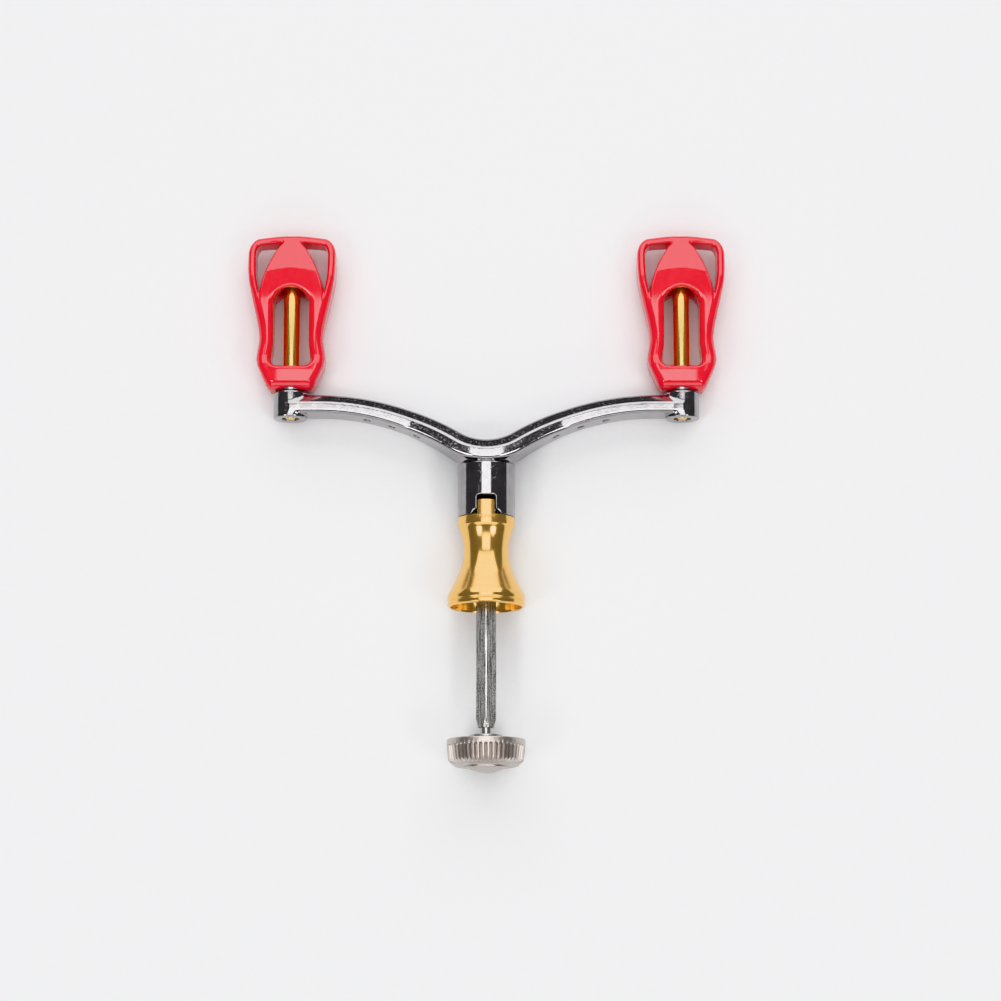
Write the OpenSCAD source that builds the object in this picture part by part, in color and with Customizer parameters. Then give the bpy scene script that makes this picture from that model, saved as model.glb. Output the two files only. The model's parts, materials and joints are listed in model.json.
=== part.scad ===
// Folding twin-knob crank handle of a fishing reel.
// The origin is on the drive shank's axis, in the plane of the collar's rim.
// +Y runs along the shank towards the knobs, +X along the arm, and +Z out of the front face.

/* [Arm] */
// Distance between the two knob axes
arm_span = 98.5; // [84:0.5:120]
// Height of the barrels' middle over the arm's middle, along the shank
arm_rise = 12.1; // [9:0.1:15]
// Thickness of the arm's strap at the hub
strap_hub_t = 5.2; // [4.2:0.1:6.4]
// Thickness of the arm's strap at a barrel
strap_end_t = 4.8; // [3.8:0.1:5.8]
// Depth of the strap, front to back, at a barrel
strap_end_depth = 8.5; // [6.6:0.1:10.4]
// Inside radius of the bend at the arm's middle
saddle_r = 15; // [11:0.5:19]
// Straight length of the strap next to a barrel's axis
strap_run = 7.25; // [6:0.25:9]
// Outer diameter of a barrel
barrel_d = 8.6; // [7.2:0.1:10.4]
// Length of a barrel
barrel_len = 6.7; // [5.5:0.1:8.2]
// Diameter of the lightening dimples under the strap
dimple_d = 1.8; // [1.4:0.1:2.4]

/* [Hub] */
// Outer diameter of the hub and of the collar's head
hub_d = 14.3; // [12:0.1:17.2]
// Length of the hub
hub_len = 13.5; // [11:0.1:16]
// Width of the slot through the hub
slot_w = 4.56; // [3.9:0.02:5.5]
// Width of the slot at its flared mouth
slot_mouth_w = 6.9; // [6.5:0.1:8]
// Height of the fold pin over the hub's lower face
pivot_height = 2; // [1.7:0.1:2.6]
// Diameter of the fold pin
fold_pin_d = 2; // [1.6:0.1:2.4]

/* [Collar] */
// Length of the collar from its rim to its head
collar_len = 22.5; // [19:0.5:28]
// Outer diameter of the collar's rim
rim_d = 19.36; // [16.2:0.02:23.2]
// Diameter of the collar's waist
waist_d = 11.24; // [9.4:0.02:12]
// Distance from the collar's head down to its waist
waist_drop = 8.1; // [7.2:0.1:10]
// Length of the straight band under the collar's head
head_band = 2.5; // [2:0.1:3.2]
// Length of the beaded band at the rim
rim_band = 3.1; // [2.6:0.1:3.8]
// Wall of the bell
bell_wall = 0.95; // [0.8:0.05:1.2]
// Depth of the hollow inside the bell
bell_depth = 11; // [9:0.5:12.5]
// Height of the two keys on the collar's head
key_len = 3.6; // [3:0.1:4.2]
// Thickness of a key, inwards from the collar's head
key_t = 2.7; // [2.2:0.1:3.2]
// Outer diameter of the boss that guides the collar on the shank
guide_d = 6.4; // [6.2:0.1:7.4]

/* [Drive shank] */
// Reach of the shank past the collar's rim
shank_reach = 29.9; // [22:0.1:38]
// Size of the shank's square across its flats
shank_flats = 3.88; // [3.2:0.02:4.7]
// Diameter over the shank's turned corners
shank_corners_d = 4.95; // [4.7:0.05:5.9]
// Diameter of the eye that the fold pin goes through
eye_d = 4.9; // [4.4:0.1:5.4]
// Length of the cone at the shank's end
shank_cone_len = 2.2; // [1.6:0.1:3]

/* [Screw cap] */
// Diameter of the cap
cap_d = 19.4; // [16.2:0.1:23.3]
// Length of the cap without its button
cap_len = 6.6; // [5.5:0.1:8]
// Gap between the shank's end and the washer, with the cap as far in as it rests
neck_len = 1.8; // [1.2:0.1:3]
// Diameter of the stud over its thread
stud_d = 2.8; // [2.2:0.1:3]
// Length of stud inside the shank
stud_grip = 9; // [6:0.5:12]
// Diameter of the loose washer under the cap
cap_washer_d = 8.3; // [7:0.1:10]
// Thickness of the loose washer
cap_washer_t = 1; // [0.8:0.1:1.4]
// Number of flutes round the cap
flutes = 48; // [36:2:60]
// Diameter of the button in the cap's end
button_d = 10.9; // [9:0.1:12.4]

/* [Knobs] */
// Length of a knob along its spindle
knob_len = 40; // [33:0.5:50]
// Width over a knob's head
knob_head_w = 22.1; // [20:0.1:26.6]
// Width over a knob's waist
knob_waist_w = 16; // [14:0.1:18.5]
// Width over the widest part of a knob's foot
knob_foot_w = 17.4; // [16:0.1:20.8]
// Width of a knob's lower end
knob_end_w = 10.4; // [9.8:0.1:12.4]
// Thickness of a knob over its hood and foot
knob_depth = 10; // [9:0.1:12]
// Thickness of a knob at its top rim
knob_rim_depth = 7.6; // [7.2:0.1:9]
// Height of the solid foot below a knob's long window
knob_foot_len = 5.9; // [5:0.1:7.2]
// Height of the hood above the long window
knob_hood_len = 13.7; // [12.6:0.1:16]
// Width of the long window
window_w = 9; // [7.6:0.1:10]
// Width of the bars beside and above the corner windows
bar_w = 1.9; // [1.6:0.1:2.4]
// Width of the hood's neck between the corner windows
neck_w = 4.6; // [3.8:0.1:5.4]

/* [Spindles and bearings] */
// Diameter of a spindle where the knob runs on it
spindle_d = 4; // [3.4:0.1:4.8]
// Diameter of the spindle's tail through the barrel
spindle_tail_d = 3; // [2.4:0.1:3.4]
// Outer diameter of a knob bearing
bearing_od = 7; // [6.4:0.1:8.4]
// Width of a knob bearing
bearing_w = 2.5; // [2:0.1:3]
// Wall of a bearing's rings
race_t = 0.4; // [0.35:0.05:0.45]
// Number of balls in a bearing
balls = 7; // [6:1:8]
// Diameter of the screw that holds the knob
knob_screw_d = 2.4; // [2:0.1:2.6]

/* [Fits] */
// Radial clearance of the fold pin in the shank's eye
pin_fit = 0.05; // [0.03:0.01:0.1]
// Radial clearance of the collar on the shank's corners
slide_fit = 0.06; // [0.03:0.01:0.1]
// Radial clearance of the stud in the shank
thread_fit = 0.05; // [0.03:0.01:0.1]
// Clearance on each side of the eye and of a key in the hub's slot
slot_fit = 0.2; // [0.15:0.01:0.25]
// Gap between flat faces that turn or part from each other
face_gap = 0.1; // [0.08:0.01:0.15]

/* [Hidden] */
$fn = 96;
hull_fn = 32;
past = 1; // how far a cut runs past the face it opens
edge = 0.35; // small edge break on turned pieces

// Heights along the shank
hub_y = collar_len + face_gap;
hub_top_y = hub_y + hub_len;
shoulder = 0.4;
arm_y = hub_top_y + shoulder + strap_hub_t / 2;
barrel_y = arm_y + arm_rise - barrel_len / 2;
barrel_top_y = barrel_y + barrel_len;
thrust_t = 0.4;
knob_y = barrel_top_y + thrust_t;
pivot_y = hub_y + pivot_height;
shank_end_y = -shank_reach;
cap_washer_y = shank_end_y - neck_len;
cap_y = cap_washer_y - cap_washer_t - face_gap;
cap_end_y = cap_y - cap_len;

// Hub slot, eye and keys
eye_t = slot_w - 2 * slot_fit;
slot_top_y = pivot_y + eye_d / 2 + 0.3;
flare_len = 1.4;
key_w = slot_w - 2 * slot_fit;
key_fillet = 0.5;
swing_r = norm([hub_d / 2, pivot_height]);
flat_from_y = pivot_y - swing_r - slot_fit;

// Strap: a saddle arc, an outer arc that it runs into, and a straight to the barrel
run = arm_span / 2 - strap_run;
bend = 2 * atan(arm_rise / run);
outer_r = run / sin(bend) - saddle_r;
strap_stop = arm_span / 2 - barrel_d / 4 - spindle_tail_d / 4;
strap_hub_depth = hub_d + 0.2;
section_points = 20;
dimple_depth = 1.2;
dimples = [0.335, 0.467, 0.6]; // places of the dimples, as shares of the way to the barrel

// Barrel
counterbore_d = spindle_tail_d + 1.3;
counterbore_len = 1.3;

// Bell
waist_y = collar_len - waist_drop;
flare_r = 15;
flare_angle = 27.4;
bead = 0.16;
guide_end_y = 1.2;

// Shank
thread_depth = stud_grip + 1.5;
cone_end_r = min(shank_corners_d / 2 - 0.45, shank_flats / 2 + 0.06);

// Cap
cap_taper = 0.45;
cap_nose_r = cap_d / 2 - 2;
cap_band = 1.6;
flute_len = cap_len - cap_band - 0.9;
flute_r = cap_d * PI / flutes * 0.36;
button_seat = 1;
button_dome = 1.1;
stud_seat = 3;

// Knob stations, measured along the knob from its lower end
foot_t = knob_foot_len + 1.9;
waist_t = foot_t + 5.7;
head_t = knob_len - 7.5;
window_top = knob_len - knob_hood_len;
arch = 4;
crease_t = window_top + 4.9;
rim_t = knob_len - 2;
corner_r = 2.9;
crown = 0.5;
pillow_r = 34; // radius of the gentle crown across a knob's faces
outline_steps = 18;
neck_flare = 2; // how much the neck widens on each side, from the faces to its core

// Bearings
seat_top = window_top + 0.7 + bearing_w;
chamber_r = bearing_od / 2 - 0.6;
inner_ring_r = spindle_d / 2 + race_t;
outer_ring_r = bearing_od / 2 - race_t;
ball_play = 0.03;
ball_r = (outer_ring_r - inner_ring_r) / 2 - ball_play;
keeper_r = chamber_r - 0.35;
keeper_t = 0.4;
screw_head_r = knob_screw_d / 2 + 1;
screw_head_len = 1.4;
screw_grip = 6;
cross_w = 0.55;
plug_t = 1;

// ---- shared shapes ----

// A round bar along Y
module rod(r, from, to) {
    translate([0, from, 0]) rotate([-90, 0, 0]) cylinder(r = r, h = to - from);
}

// A solid turned about Y from [radius, y] points
module turned(points) {
    rotate([-90, 0, 0]) rotate_extrude() polygon(points);
}

// A ring about Y
module ring(inner, outer, from, to) {
    turned([[inner, from], [outer, from], [outer, to], [inner, to]]);
}

// A round bar about Y with broken edges
module chamfered_rod(r, from, to, c) {
    turned([[0, from], [r - c, from], [r, from + c], [r, to - c], [r - c, to], [0, to]]);
}

// Both mirrored copies across the shank's axis
module both_sides() {
    children();
    mirror([1, 0, 0]) children();
}

// Places a knob's piece, side is -1 for the left and 1 for the right
module at_knob(side) {
    translate([side * arm_span / 2, knob_y, 0]) children();
}

// Slow in and slow out, from 0 to 1
function ease(u) = u <= 0 ? 0 : u >= 1 ? 1 : u * u * (3 - 2 * u);
function blend(u, a, b) = a + (b - a) * ease(u);
function mirrored(points) = [for (i = [len(points) - 1:-1:0]) [-points[i].x, points[i].y]];

// ---- arm ----

// Stations of the strap from its middle to the barrel: [x, y over the middle, slope]
function strap_path() = concat(
    [for (a = [0:bend / 5:bend - 0.01]) [saddle_r * sin(a), saddle_r * (1 - cos(a)), a]],
    [for (a = [bend:-bend / 9:0.01]) [run - outer_r * sin(a), arm_rise - outer_r * (1 - cos(a)), a]],
    [[run, arm_rise, 0], [strap_stop, arm_rise, 0]]
);

// Half thickness and half depth of the strap at a distance x from the middle
function strap_half_t(x) = blend(x / run, strap_hub_t, strap_end_t) / 2;
function strap_half_depth(x) = blend((21 - x) / 19.5, strap_end_depth, strap_hub_depth) / 2;

// One ring of the strap: round over the top and nearly flat underneath
function power(v, p) = sign(v) * pow(abs(v), p);
function strap_ring(s, side) = [
    for (i = [0:section_points - 1])
        let (a = 360 * i / section_points + 9)
        let (p = sin(a) > 0 ? 0.85 : 0.38)
        let (up = strap_half_t(s.x) * power(sin(a), p))
        let (out = strap_half_depth(s.x) * power(cos(a), p))
        [side * (s.x - up * sin(s[2])), arm_y + s.y + up * cos(s[2]), out]
];

// The strap is one closed skin over all its rings
module strap() {
    half = strap_path();
    last = len(half) - 1;
    rings = concat(
        [for (i = [last:-1:1]) strap_ring(half[i], -1)],
        [for (i = [0:last]) strap_ring(half[i], 1)]
    );
    n = section_points;
    top = len(rings) - 1;
    points = [for (r = rings) for (p = r) p];
    skin = [
        for (k = [0:top - 1]) for (i = [0:n - 1])
            [k * n + i, k * n + (i + 1) % n, (k + 1) * n + (i + 1) % n, (k + 1) * n + i]
    ];
    ends = [[for (i = [n - 1:-1:0]) i], [for (i = [0:n - 1]) top * n + i]];
    polyhedron(points = points, faces = concat(skin, ends), convexity = 6);
}

module hub_body() {
    r = hub_d / 2;
    turned([
        [0, hub_y], [r - edge, hub_y], [r, hub_y + edge], [r, hub_top_y - 2 * edge],
        [r - 2 * edge, hub_top_y], [r - 3 * edge, hub_top_y + shoulder], [0, arm_y]
    ]);
}

module hub_slot() {
    w = slot_w / 2;
    m = slot_mouth_w / 2;
    corner = 0.4;
    right = [
        [m, hub_y - past], [m, hub_y + flare_len / 3], [w, hub_y + flare_len],
        [w, slot_top_y - corner], [w - corner, slot_top_y]
    ];
    linear_extrude(height = 2 * hub_d, center = true) polygon(concat(right, mirrored(right)));
}

// Blind dimples in the strap's underside, square to the strap
module strap_dimples() {
    for (share = dimples) {
        x = share * arm_span / 2;
        a = asin((run - x) / outer_r);
        y = arm_y + arm_rise - outer_r * (1 - cos(a));
        depth = strap_half_t(x);
        translate([x, y, 0]) rotate([0, 0, a]) rod(dimple_d / 2, -depth - past, dimple_depth - depth);
    }
}

module barrel_bores() {
    translate([arm_span / 2, 0, 0]) {
        rod(spindle_tail_d / 2, barrel_y - past, barrel_top_y + past);
        rod(counterbore_d / 2, barrel_y - past, barrel_y + counterbore_len);
    }
}

module handle_arm() {
    color("#2f3033") difference() {
        union() {
            strap();
            hub_body();
            both_sides() translate([arm_span / 2, 0, 0])
                chamfered_rod(barrel_d / 2, barrel_y, barrel_top_y, edge);
        }
        hub_slot();
        both_sides() strap_dimples();
        both_sides() barrel_bores();
        fold_pin_bar();
    }
}

module fold_pin_bar() {
    length = hub_d - 2 * face_gap;
    translate([-length / 2, pivot_y, 0]) rotate([0, 90, 0]) cylinder(d = fold_pin_d, h = length);
}

module fold_pin() {
    color("#8f8f94") fold_pin_bar();
}

// ---- shank ----

// The square bar stands on a corner, and its corners are turned down
module shank_bar() {
    r = shank_corners_d / 2;
    side = shank_flats / 2;
    intersection() {
        translate([0, shank_end_y, 0]) rotate([-90, 45, 0])
            translate([-side, -side, 0]) cube([2 * side, 2 * side, pivot_y - shank_end_y]);
        turned([
            [0, shank_end_y], [cone_end_r, shank_end_y], [r, shank_end_y + shank_cone_len],
            [r, pivot_y], [0, pivot_y]
        ]);
    }
}

// The eye is round in front, where the arm folds, and square behind, where it stops
module shank_eye() {
    r = eye_d / 2;
    translate([-eye_t / 2, pivot_y, 0]) {
        rotate([0, 90, 0]) cylinder(r = r, h = eye_t);
        translate([0, 0, -r]) cube([eye_t, r, r]);
    }
}

module drive_shank() {
    color("#8d8f90") difference() {
        union() {
            difference() {
                shank_bar();
                both_sides() translate([eye_t / 2, flat_from_y, -shank_corners_d])
                    cube([shank_corners_d, pivot_y, 2 * shank_corners_d]);
            }
            shank_eye();
        }
        translate([-eye_t, pivot_y, 0]) rotate([0, 90, 0])
            cylinder(r = fold_pin_d / 2 + pin_fit, h = 2 * eye_t);
        rod(stud_d / 2 + thread_fit, shank_end_y - past, shank_end_y + thread_depth);
    }
}

// ---- collar ----

// Radius of the bell's outside at a height y: a hollow curve above the waist, a flare below it
function neck_arc_r() =
    let (drop = waist_drop - head_band, step = (hub_d - waist_d) / 2 - 0.1)
    (drop * drop + step * step) / (2 * step);
function bell_r(y) =
    let (d = abs(y - waist_y), turn = flare_r * sin(flare_angle))
    y > waist_y ? waist_d / 2 + neck_arc_r() - sqrt(pow(neck_arc_r(), 2) - d * d)
    : d < turn ? waist_d / 2 + flare_r - sqrt(flare_r * flare_r - d * d)
    : waist_d / 2 + flare_r * (1 - cos(flare_angle))
        + (d - turn) / (waist_y - rim_band - turn) * (rim_d / 2 - bead - bell_r(waist_y - turn + 0.001));

module collar_bell() {
    r = rim_d / 2;
    neck_from = waist_y;
    neck_to = collar_len - head_band;
    steps = 12;
    flare_side = [for (i = [0:steps]) let (y = rim_band + (neck_from - rim_band) * i / steps) [bell_r(y), y]];
    neck_side = [for (i = [1:steps]) let (y = neck_from + (neck_to - neck_from) * i / steps) [bell_r(y), y]];
    turned(concat(
        [[0, 0], [r - edge, 0], [r, edge], [r, 1.2], [r - bead, 1.4], [r - bead, 1.6], [r, 1.8], [r, 2.6]],
        flare_side, neck_side,
        [[hub_d / 2, neck_to + 0.1], [hub_d / 2, collar_len - 0.15], [hub_d / 2 - 0.15, collar_len], [0, collar_len]]
    ));
}

module bell_hollow() {
    steps = 10;
    from = rim_band;
    wall_side = [
        for (i = [0:steps])
            let (y = from + (bell_depth - from) * i / steps)
            [bell_r(y) - bell_wall - 0.15 * i / steps, y]
    ];
    turned(concat([[0, -past], [rim_d / 2 - bell_wall, -past], [rim_d / 2 - bell_wall, 0.6]], wall_side, [[0, bell_depth]]));
}

// A key stands on the head at the front and at the back, in the hub's slot
module collar_keys() {
    w = key_w / 2;
    f = key_fillet;
    chamfer = 0.3;
    top = collar_len + key_len;
    right = [[w, collar_len - past], [w, top - chamfer], [w - chamfer, top]];
    intersection() {
        ring(hub_d / 2 - key_t, hub_d / 2, collar_len - past, top);
        linear_extrude(height = 2 * hub_d, center = true) {
            polygon(concat(right, mirrored(right)));
            difference() {
                translate([-w - f, collar_len - past]) square([2 * (w + f), past + f]);
                translate([w + f, collar_len + f]) circle(r = f);
                translate([-w - f, collar_len + f]) circle(r = f);
            }
        }
    }
}

module collar() {
    bore = shank_corners_d / 2 + slide_fit;
    color("#e0a43c") difference() {
        union() {
            difference() {
                collar_bell();
                bell_hollow();
            }
            rod(guide_d / 2, guide_end_y, bell_depth + past);
            collar_keys();
        }
        rod(bore, -past, collar_len + past);
    }
}

// ---- screw cap ----

module cap_washer() {
    color("#9b9a98") difference() {
        chamfered_rod(cap_washer_d / 2, cap_washer_y - cap_washer_t, cap_washer_y, 0.2);
        rod(stud_d / 2 + thread_fit, cap_washer_y - past - cap_washer_t, cap_washer_y + past);
    }
}

// Flutes follow the cap's slight taper
module cap_flutes() {
    from = cap_y - cap_band;
    tilt = atan(cap_taper / flute_len);
    for (i = [0:flutes - 1])
        rotate([0, 360 * i / flutes, 0]) translate([cap_d / 2 + flute_r * 0.25, from, 0])
            rotate([0, 0, -tilt]) rod(flute_r, -flute_len - past, 0);
}

module screw_cap() {
    r = cap_d / 2;
    low = r - cap_taper;
    color("#a39d98") difference() {
        turned([
            [0, cap_end_y], [cap_nose_r, cap_end_y], [low - 0.6, cap_end_y + 0.5], [low, cap_end_y + 1.3],
            [r, cap_y - cap_band], [r, cap_y - edge], [r - edge, cap_y], [0, cap_y]
        ]);
        cap_flutes();
        rod(stud_d / 2, cap_y - stud_seat, cap_y + past);
        rod(button_d / 2, cap_end_y - past, cap_end_y + button_seat);
    }
}

module cap_stud() {
    color("#6d6e70") turned([
        [0, cap_y - stud_seat], [stud_d / 2, cap_y - stud_seat], [stud_d / 2, shank_end_y + stud_grip - 0.5],
        [stud_d / 2 - 0.5, shank_end_y + stud_grip], [0, shank_end_y + stud_grip]
    ]);
}

// A disc with a rounded lip, a step and a shallow dome
module cap_button() {
    r = button_d / 2;
    base = cap_end_y + button_seat;
    lip = cap_end_y - 0.5;
    dome_r = r - 0.9;
    dome_ball = (dome_r * dome_r + button_dome * button_dome) / (2 * button_dome);
    dome = [for (i = [8:-1:0]) let (x = dome_r * i / 8) [x, lip - sqrt(dome_ball * dome_ball - x * x) + dome_ball - button_dome]];
    color("#b7b2ac") turned(concat([[0, base], [r, base], [r, lip + 0.3], [r - 0.3, lip], [dome_r + 0.2, lip]], dome));
}

// ---- knobs ----

function knob_half_w(t) =
    t < waist_t ? blend((t - foot_t) / (waist_t - foot_t), knob_foot_w, knob_waist_w) / 2
    : blend((t - waist_t) / (head_t - waist_t), knob_waist_w, knob_head_w) / 2;

// Outline seen from the front: tapered foot, waist, wide head with round corners and a crowned top
module knob_outline() {
    w = knob_head_w / 2;
    crown_w = w - corner_r;
    crown_r = (crown_w * crown_w + crown * crown) / (2 * crown);
    side = [for (i = [0:outline_steps]) let (t = foot_t + (head_t - foot_t) * i / outline_steps) [knob_half_w(t), t]];
    corner = [for (a = [0:15:75]) [crown_w + corner_r * cos(a), knob_len - crown + corner_r * (sin(a) - 1)]];
    top = [for (i = [4:-1:1]) let (x = crown_w * i / 4) [x, knob_len - crown_r + sqrt(crown_r * crown_r - x * x)]];
    foot = [[knob_end_w / 2, 0], [knob_end_w / 2 + 0.8, 0.9], [knob_foot_w / 2 - edge, foot_t - 1.6]];
    right = concat(foot, side, corner, top);
    polygon(concat(right, [[0, knob_len]], mirrored(right)));
}

// Outline seen from the side, as half thicknesses up the knob
module knob_side() {
    d = knob_depth / 2;
    e = knob_rim_depth / 2;
    right = [
        [d - 0.95, 0], [d - 0.6, 0.7], [d - 0.12, 1.9], [d, 4.6], [d, knob_foot_len + 0.4], [d - 0.5, knob_foot_len + 3],
        [d - 0.5, window_top - 3.5], [d, window_top], [d, crease_t], [e, rim_t], [e - 0.3, knob_len - 0.5],
        [e - 0.9, knob_len]
    ];
    polygon(concat(right, mirrored(right)));
}

// Long window: wider at the foot, with an arch under the hood
module long_window() {
    w = window_w / 2;
    wide = 0.5;
    low = knob_foot_len;
    r = 1.2;
    from = low + r;
    to = window_top - arch;
    side = [
        for (i = [0:8])
            let (t = from + (to - from) * i / 8)
            [w + wide * (1 - ease((t - from) / 5)), t]
    ];
    corner = [for (a = [-90:30:-30]) [w + wide - r + r * cos(a), low + r + r * sin(a)]];
    arc = [for (a = [15:15:75]) [w * cos(a), to + arch * sin(a)]];
    right = concat(corner, side, arc);
    linear_extrude(height = 2 * knob_depth, center = true)
        polygon(concat(right, [[0, window_top]], mirrored(right)));
}

// Three round corners of a corner window at a height z, inset is how much narrower its neck side is
module corner_posts(z, inset) {
    out_r = 1.4;
    in_r = 0.35;
    tip_r = 0.45;
    top = knob_len - bar_w - 0.8;
    tip_t = window_top - 0.4 + inset / 3;
    posts = [
        [knob_head_w / 2 - bar_w - out_r, top - out_r, out_r],
        [neck_w / 2 + in_r + inset, top - in_r, in_r],
        [knob_half_w(tip_t) - bar_w - tip_r, tip_t, tip_r]
    ];
    for (p = posts) translate([p.x, p.y, z]) cylinder(r = p[2], h = 0.02, center = true, $fn = hull_fn);
}

// The corner window narrows from each face to the middle of the knob's thickness
module corner_window() {
    for (face = [-1, 1]) hull() {
        corner_posts(0, neck_flare);
        corner_posts(face * (knob_depth / 2 + 0.2), 0);
    }
}

module knob_bores() {
    rod(bearing_od / 2, -past, bearing_w);
    rod(spindle_d / 2 + 0.15, 0, knob_foot_len + past);
    rod(bearing_od / 2, window_top - arch, seat_top);
    rod(chamber_r, seat_top - past, knob_len + past);
}

module knob_body() {
    color("#df2236") difference() {
        intersection() {
            linear_extrude(height = knob_depth + past, center = true) knob_outline();
            rotate([0, 90, 0]) linear_extrude(height = knob_head_w + past, center = true) knob_side();
            translate([0, 0, knob_depth / 2 - pillow_r]) rod(pillow_r, 0, knob_len);
            translate([0, 0, pillow_r - knob_depth / 2]) rod(pillow_r, 0, knob_len);
        }
        long_window();
        both_sides() corner_window();
        knob_bores();
    }
}

// Closes the screw's chamber in the knob's top
module knob_plug() {
    color("#c41d2f") chamfered_rod(chamber_r, knob_len - plug_t - 0.2, knob_len - 0.2, 0.15);
}

module spindle() {
    tail_y = barrel_y - knob_y;
    head_y = tail_y + counterbore_len;
    step_y = -thrust_t;
    r = spindle_d / 2;
    tail_r = spindle_tail_d / 2;
    rivet_r = counterbore_d / 2 - 0.05;
    top = seat_top - 0.1;
    color("#c8963e") difference() {
        turned([
            [0, tail_y + 0.1], [1.1, tail_y + 0.1], [1.3, tail_y + 0.45], [rivet_r - 0.3, tail_y + 0.6],
            [rivet_r, tail_y + 0.9], [rivet_r, head_y], [tail_r, head_y], [tail_r, step_y], [r, step_y],
            [r, top], [0, top]
        ]);
        rod(knob_screw_d / 2, top - screw_grip, top + past);
    }
}

module thrust_washer() {
    color("#b9b9b6") ring(spindle_d / 2, outer_ring_r - 0.35, -thrust_t, 0);
}

module inner_ring(from) {
    color("#c9cacc") ring(spindle_d / 2, inner_ring_r, from, from + bearing_w);
}

module outer_ring(from) {
    color("#c9cacc") ring(outer_ring_r, bearing_od / 2, from, from + bearing_w);
}

module ball_set(from) {
    pitch_r = (inner_ring_r + outer_ring_r) / 2;
    color("#dddddd") for (i = [0:balls - 1])
        rotate([0, 360 * i / balls, 0]) translate([pitch_r, from + bearing_w / 2, 0]) sphere(r = ball_r);
}

module keeper_washer() {
    color("#b9b9b6") ring(knob_screw_d / 2, keeper_r, seat_top, seat_top + keeper_t);
}

// Cross-head screw in the end of the spindle
module knob_screw() {
    under = seat_top + keeper_t;
    top = under + screw_head_len;
    r = screw_head_r;
    tip = seat_top - 0.1 - screw_grip + 0.5;
    color("#a5a6a8") difference() {
        turned([
            [0, tip], [knob_screw_d / 2, tip], [knob_screw_d / 2, under], [r, under],
            [r, top - 0.4], [r - 0.4, top], [0, top]
        ]);
        for (a = [0, 90]) rotate([0, a, 0]) translate([-r * 0.6, top - 0.7, -cross_w / 2])
            cube([r * 1.2, past, cross_w]);
    }
}

upper_from = seat_top - bearing_w;

drive_shank();
handle_arm();
fold_pin();
collar();
cap_washer();
screw_cap();
cap_stud();
cap_button();
at_knob(-1) knob_body();  // knob_left
at_knob(1) knob_body();  // knob_right
at_knob(-1) knob_plug();  // knob_plug_left
at_knob(1) knob_plug();  // knob_plug_right
at_knob(-1) spindle();  // spindle_left
at_knob(1) spindle();  // spindle_right
at_knob(-1) thrust_washer();  // thrust_washer_left
at_knob(1) thrust_washer();  // thrust_washer_right
at_knob(-1) keeper_washer();  // keeper_washer_left
at_knob(1) keeper_washer();  // keeper_washer_right
at_knob(-1) knob_screw();  // knob_screw_left
at_knob(1) knob_screw();  // knob_screw_right
at_knob(-1) inner_ring(0);  // lower_inner_ring_left
at_knob(1) inner_ring(0);  // lower_inner_ring_right
at_knob(-1) outer_ring(0);  // lower_outer_ring_left
at_knob(1) outer_ring(0);  // lower_outer_ring_right
at_knob(-1) ball_set(0);  // lower_balls_left
at_knob(1) ball_set(0);  // lower_balls_right
at_knob(-1) inner_ring(upper_from);  // upper_inner_ring_left
at_knob(1) inner_ring(upper_from);  // upper_inner_ring_right
at_knob(-1) outer_ring(upper_from);  // upper_outer_ring_left
at_knob(1) outer_ring(upper_from);  // upper_outer_ring_right
at_knob(-1) ball_set(upper_from);  // upper_balls_left
at_knob(1) ball_set(upper_from);  // upper_balls_right
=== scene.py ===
"""Looks of a folding twin-knob crank handle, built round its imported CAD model.

Lengths inside the shape functions are in millimetres. Meshes are made in metres, in the CAD model's frame:
+Y runs along the shank towards the knobs, +X along the arm and +Z out of the front face.
"""

import json
import math
from types import SimpleNamespace

import bmesh
import bpy
import numpy as np
from bpy.props import FloatProperty, IntProperty, PointerProperty, StringProperty
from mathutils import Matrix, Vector


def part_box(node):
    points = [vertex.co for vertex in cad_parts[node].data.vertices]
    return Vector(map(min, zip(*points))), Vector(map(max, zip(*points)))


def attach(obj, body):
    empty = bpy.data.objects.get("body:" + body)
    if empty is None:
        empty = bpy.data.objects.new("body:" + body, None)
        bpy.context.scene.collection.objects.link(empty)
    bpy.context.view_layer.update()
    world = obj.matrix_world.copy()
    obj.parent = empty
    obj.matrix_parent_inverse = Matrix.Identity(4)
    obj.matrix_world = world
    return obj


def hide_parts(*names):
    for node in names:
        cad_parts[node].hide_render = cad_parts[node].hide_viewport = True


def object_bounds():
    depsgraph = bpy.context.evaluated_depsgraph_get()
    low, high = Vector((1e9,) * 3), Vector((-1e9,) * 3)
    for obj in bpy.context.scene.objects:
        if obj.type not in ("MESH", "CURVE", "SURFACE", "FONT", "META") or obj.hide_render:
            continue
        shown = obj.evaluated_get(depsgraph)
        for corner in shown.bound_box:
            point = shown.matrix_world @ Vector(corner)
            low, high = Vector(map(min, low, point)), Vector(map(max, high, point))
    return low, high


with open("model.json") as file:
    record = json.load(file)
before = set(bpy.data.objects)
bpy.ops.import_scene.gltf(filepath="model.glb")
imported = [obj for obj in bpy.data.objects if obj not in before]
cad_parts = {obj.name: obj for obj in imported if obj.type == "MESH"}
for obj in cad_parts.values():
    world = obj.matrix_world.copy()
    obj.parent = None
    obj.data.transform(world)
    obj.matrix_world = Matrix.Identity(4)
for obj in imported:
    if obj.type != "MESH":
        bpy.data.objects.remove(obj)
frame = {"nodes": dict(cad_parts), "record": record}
CAD_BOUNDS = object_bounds()

bl_info = {
    "name": "Folding Crank Handle",
    "version": (1, 0, 0),
    "blender": (4, 5, 0),
    "location": "View3D > Sidebar > Crank",
    "description": "Builds the pieces and finishes of a folding twin-knob crank handle round its CAD model",
    "category": "Mesh",
}

MM = 0.001  # metres in a millimetre
SIDES = {"left": -1, "right": 1}
SPINDLE_RADIUS = 2.0  # of the knob bearings' journals


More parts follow.
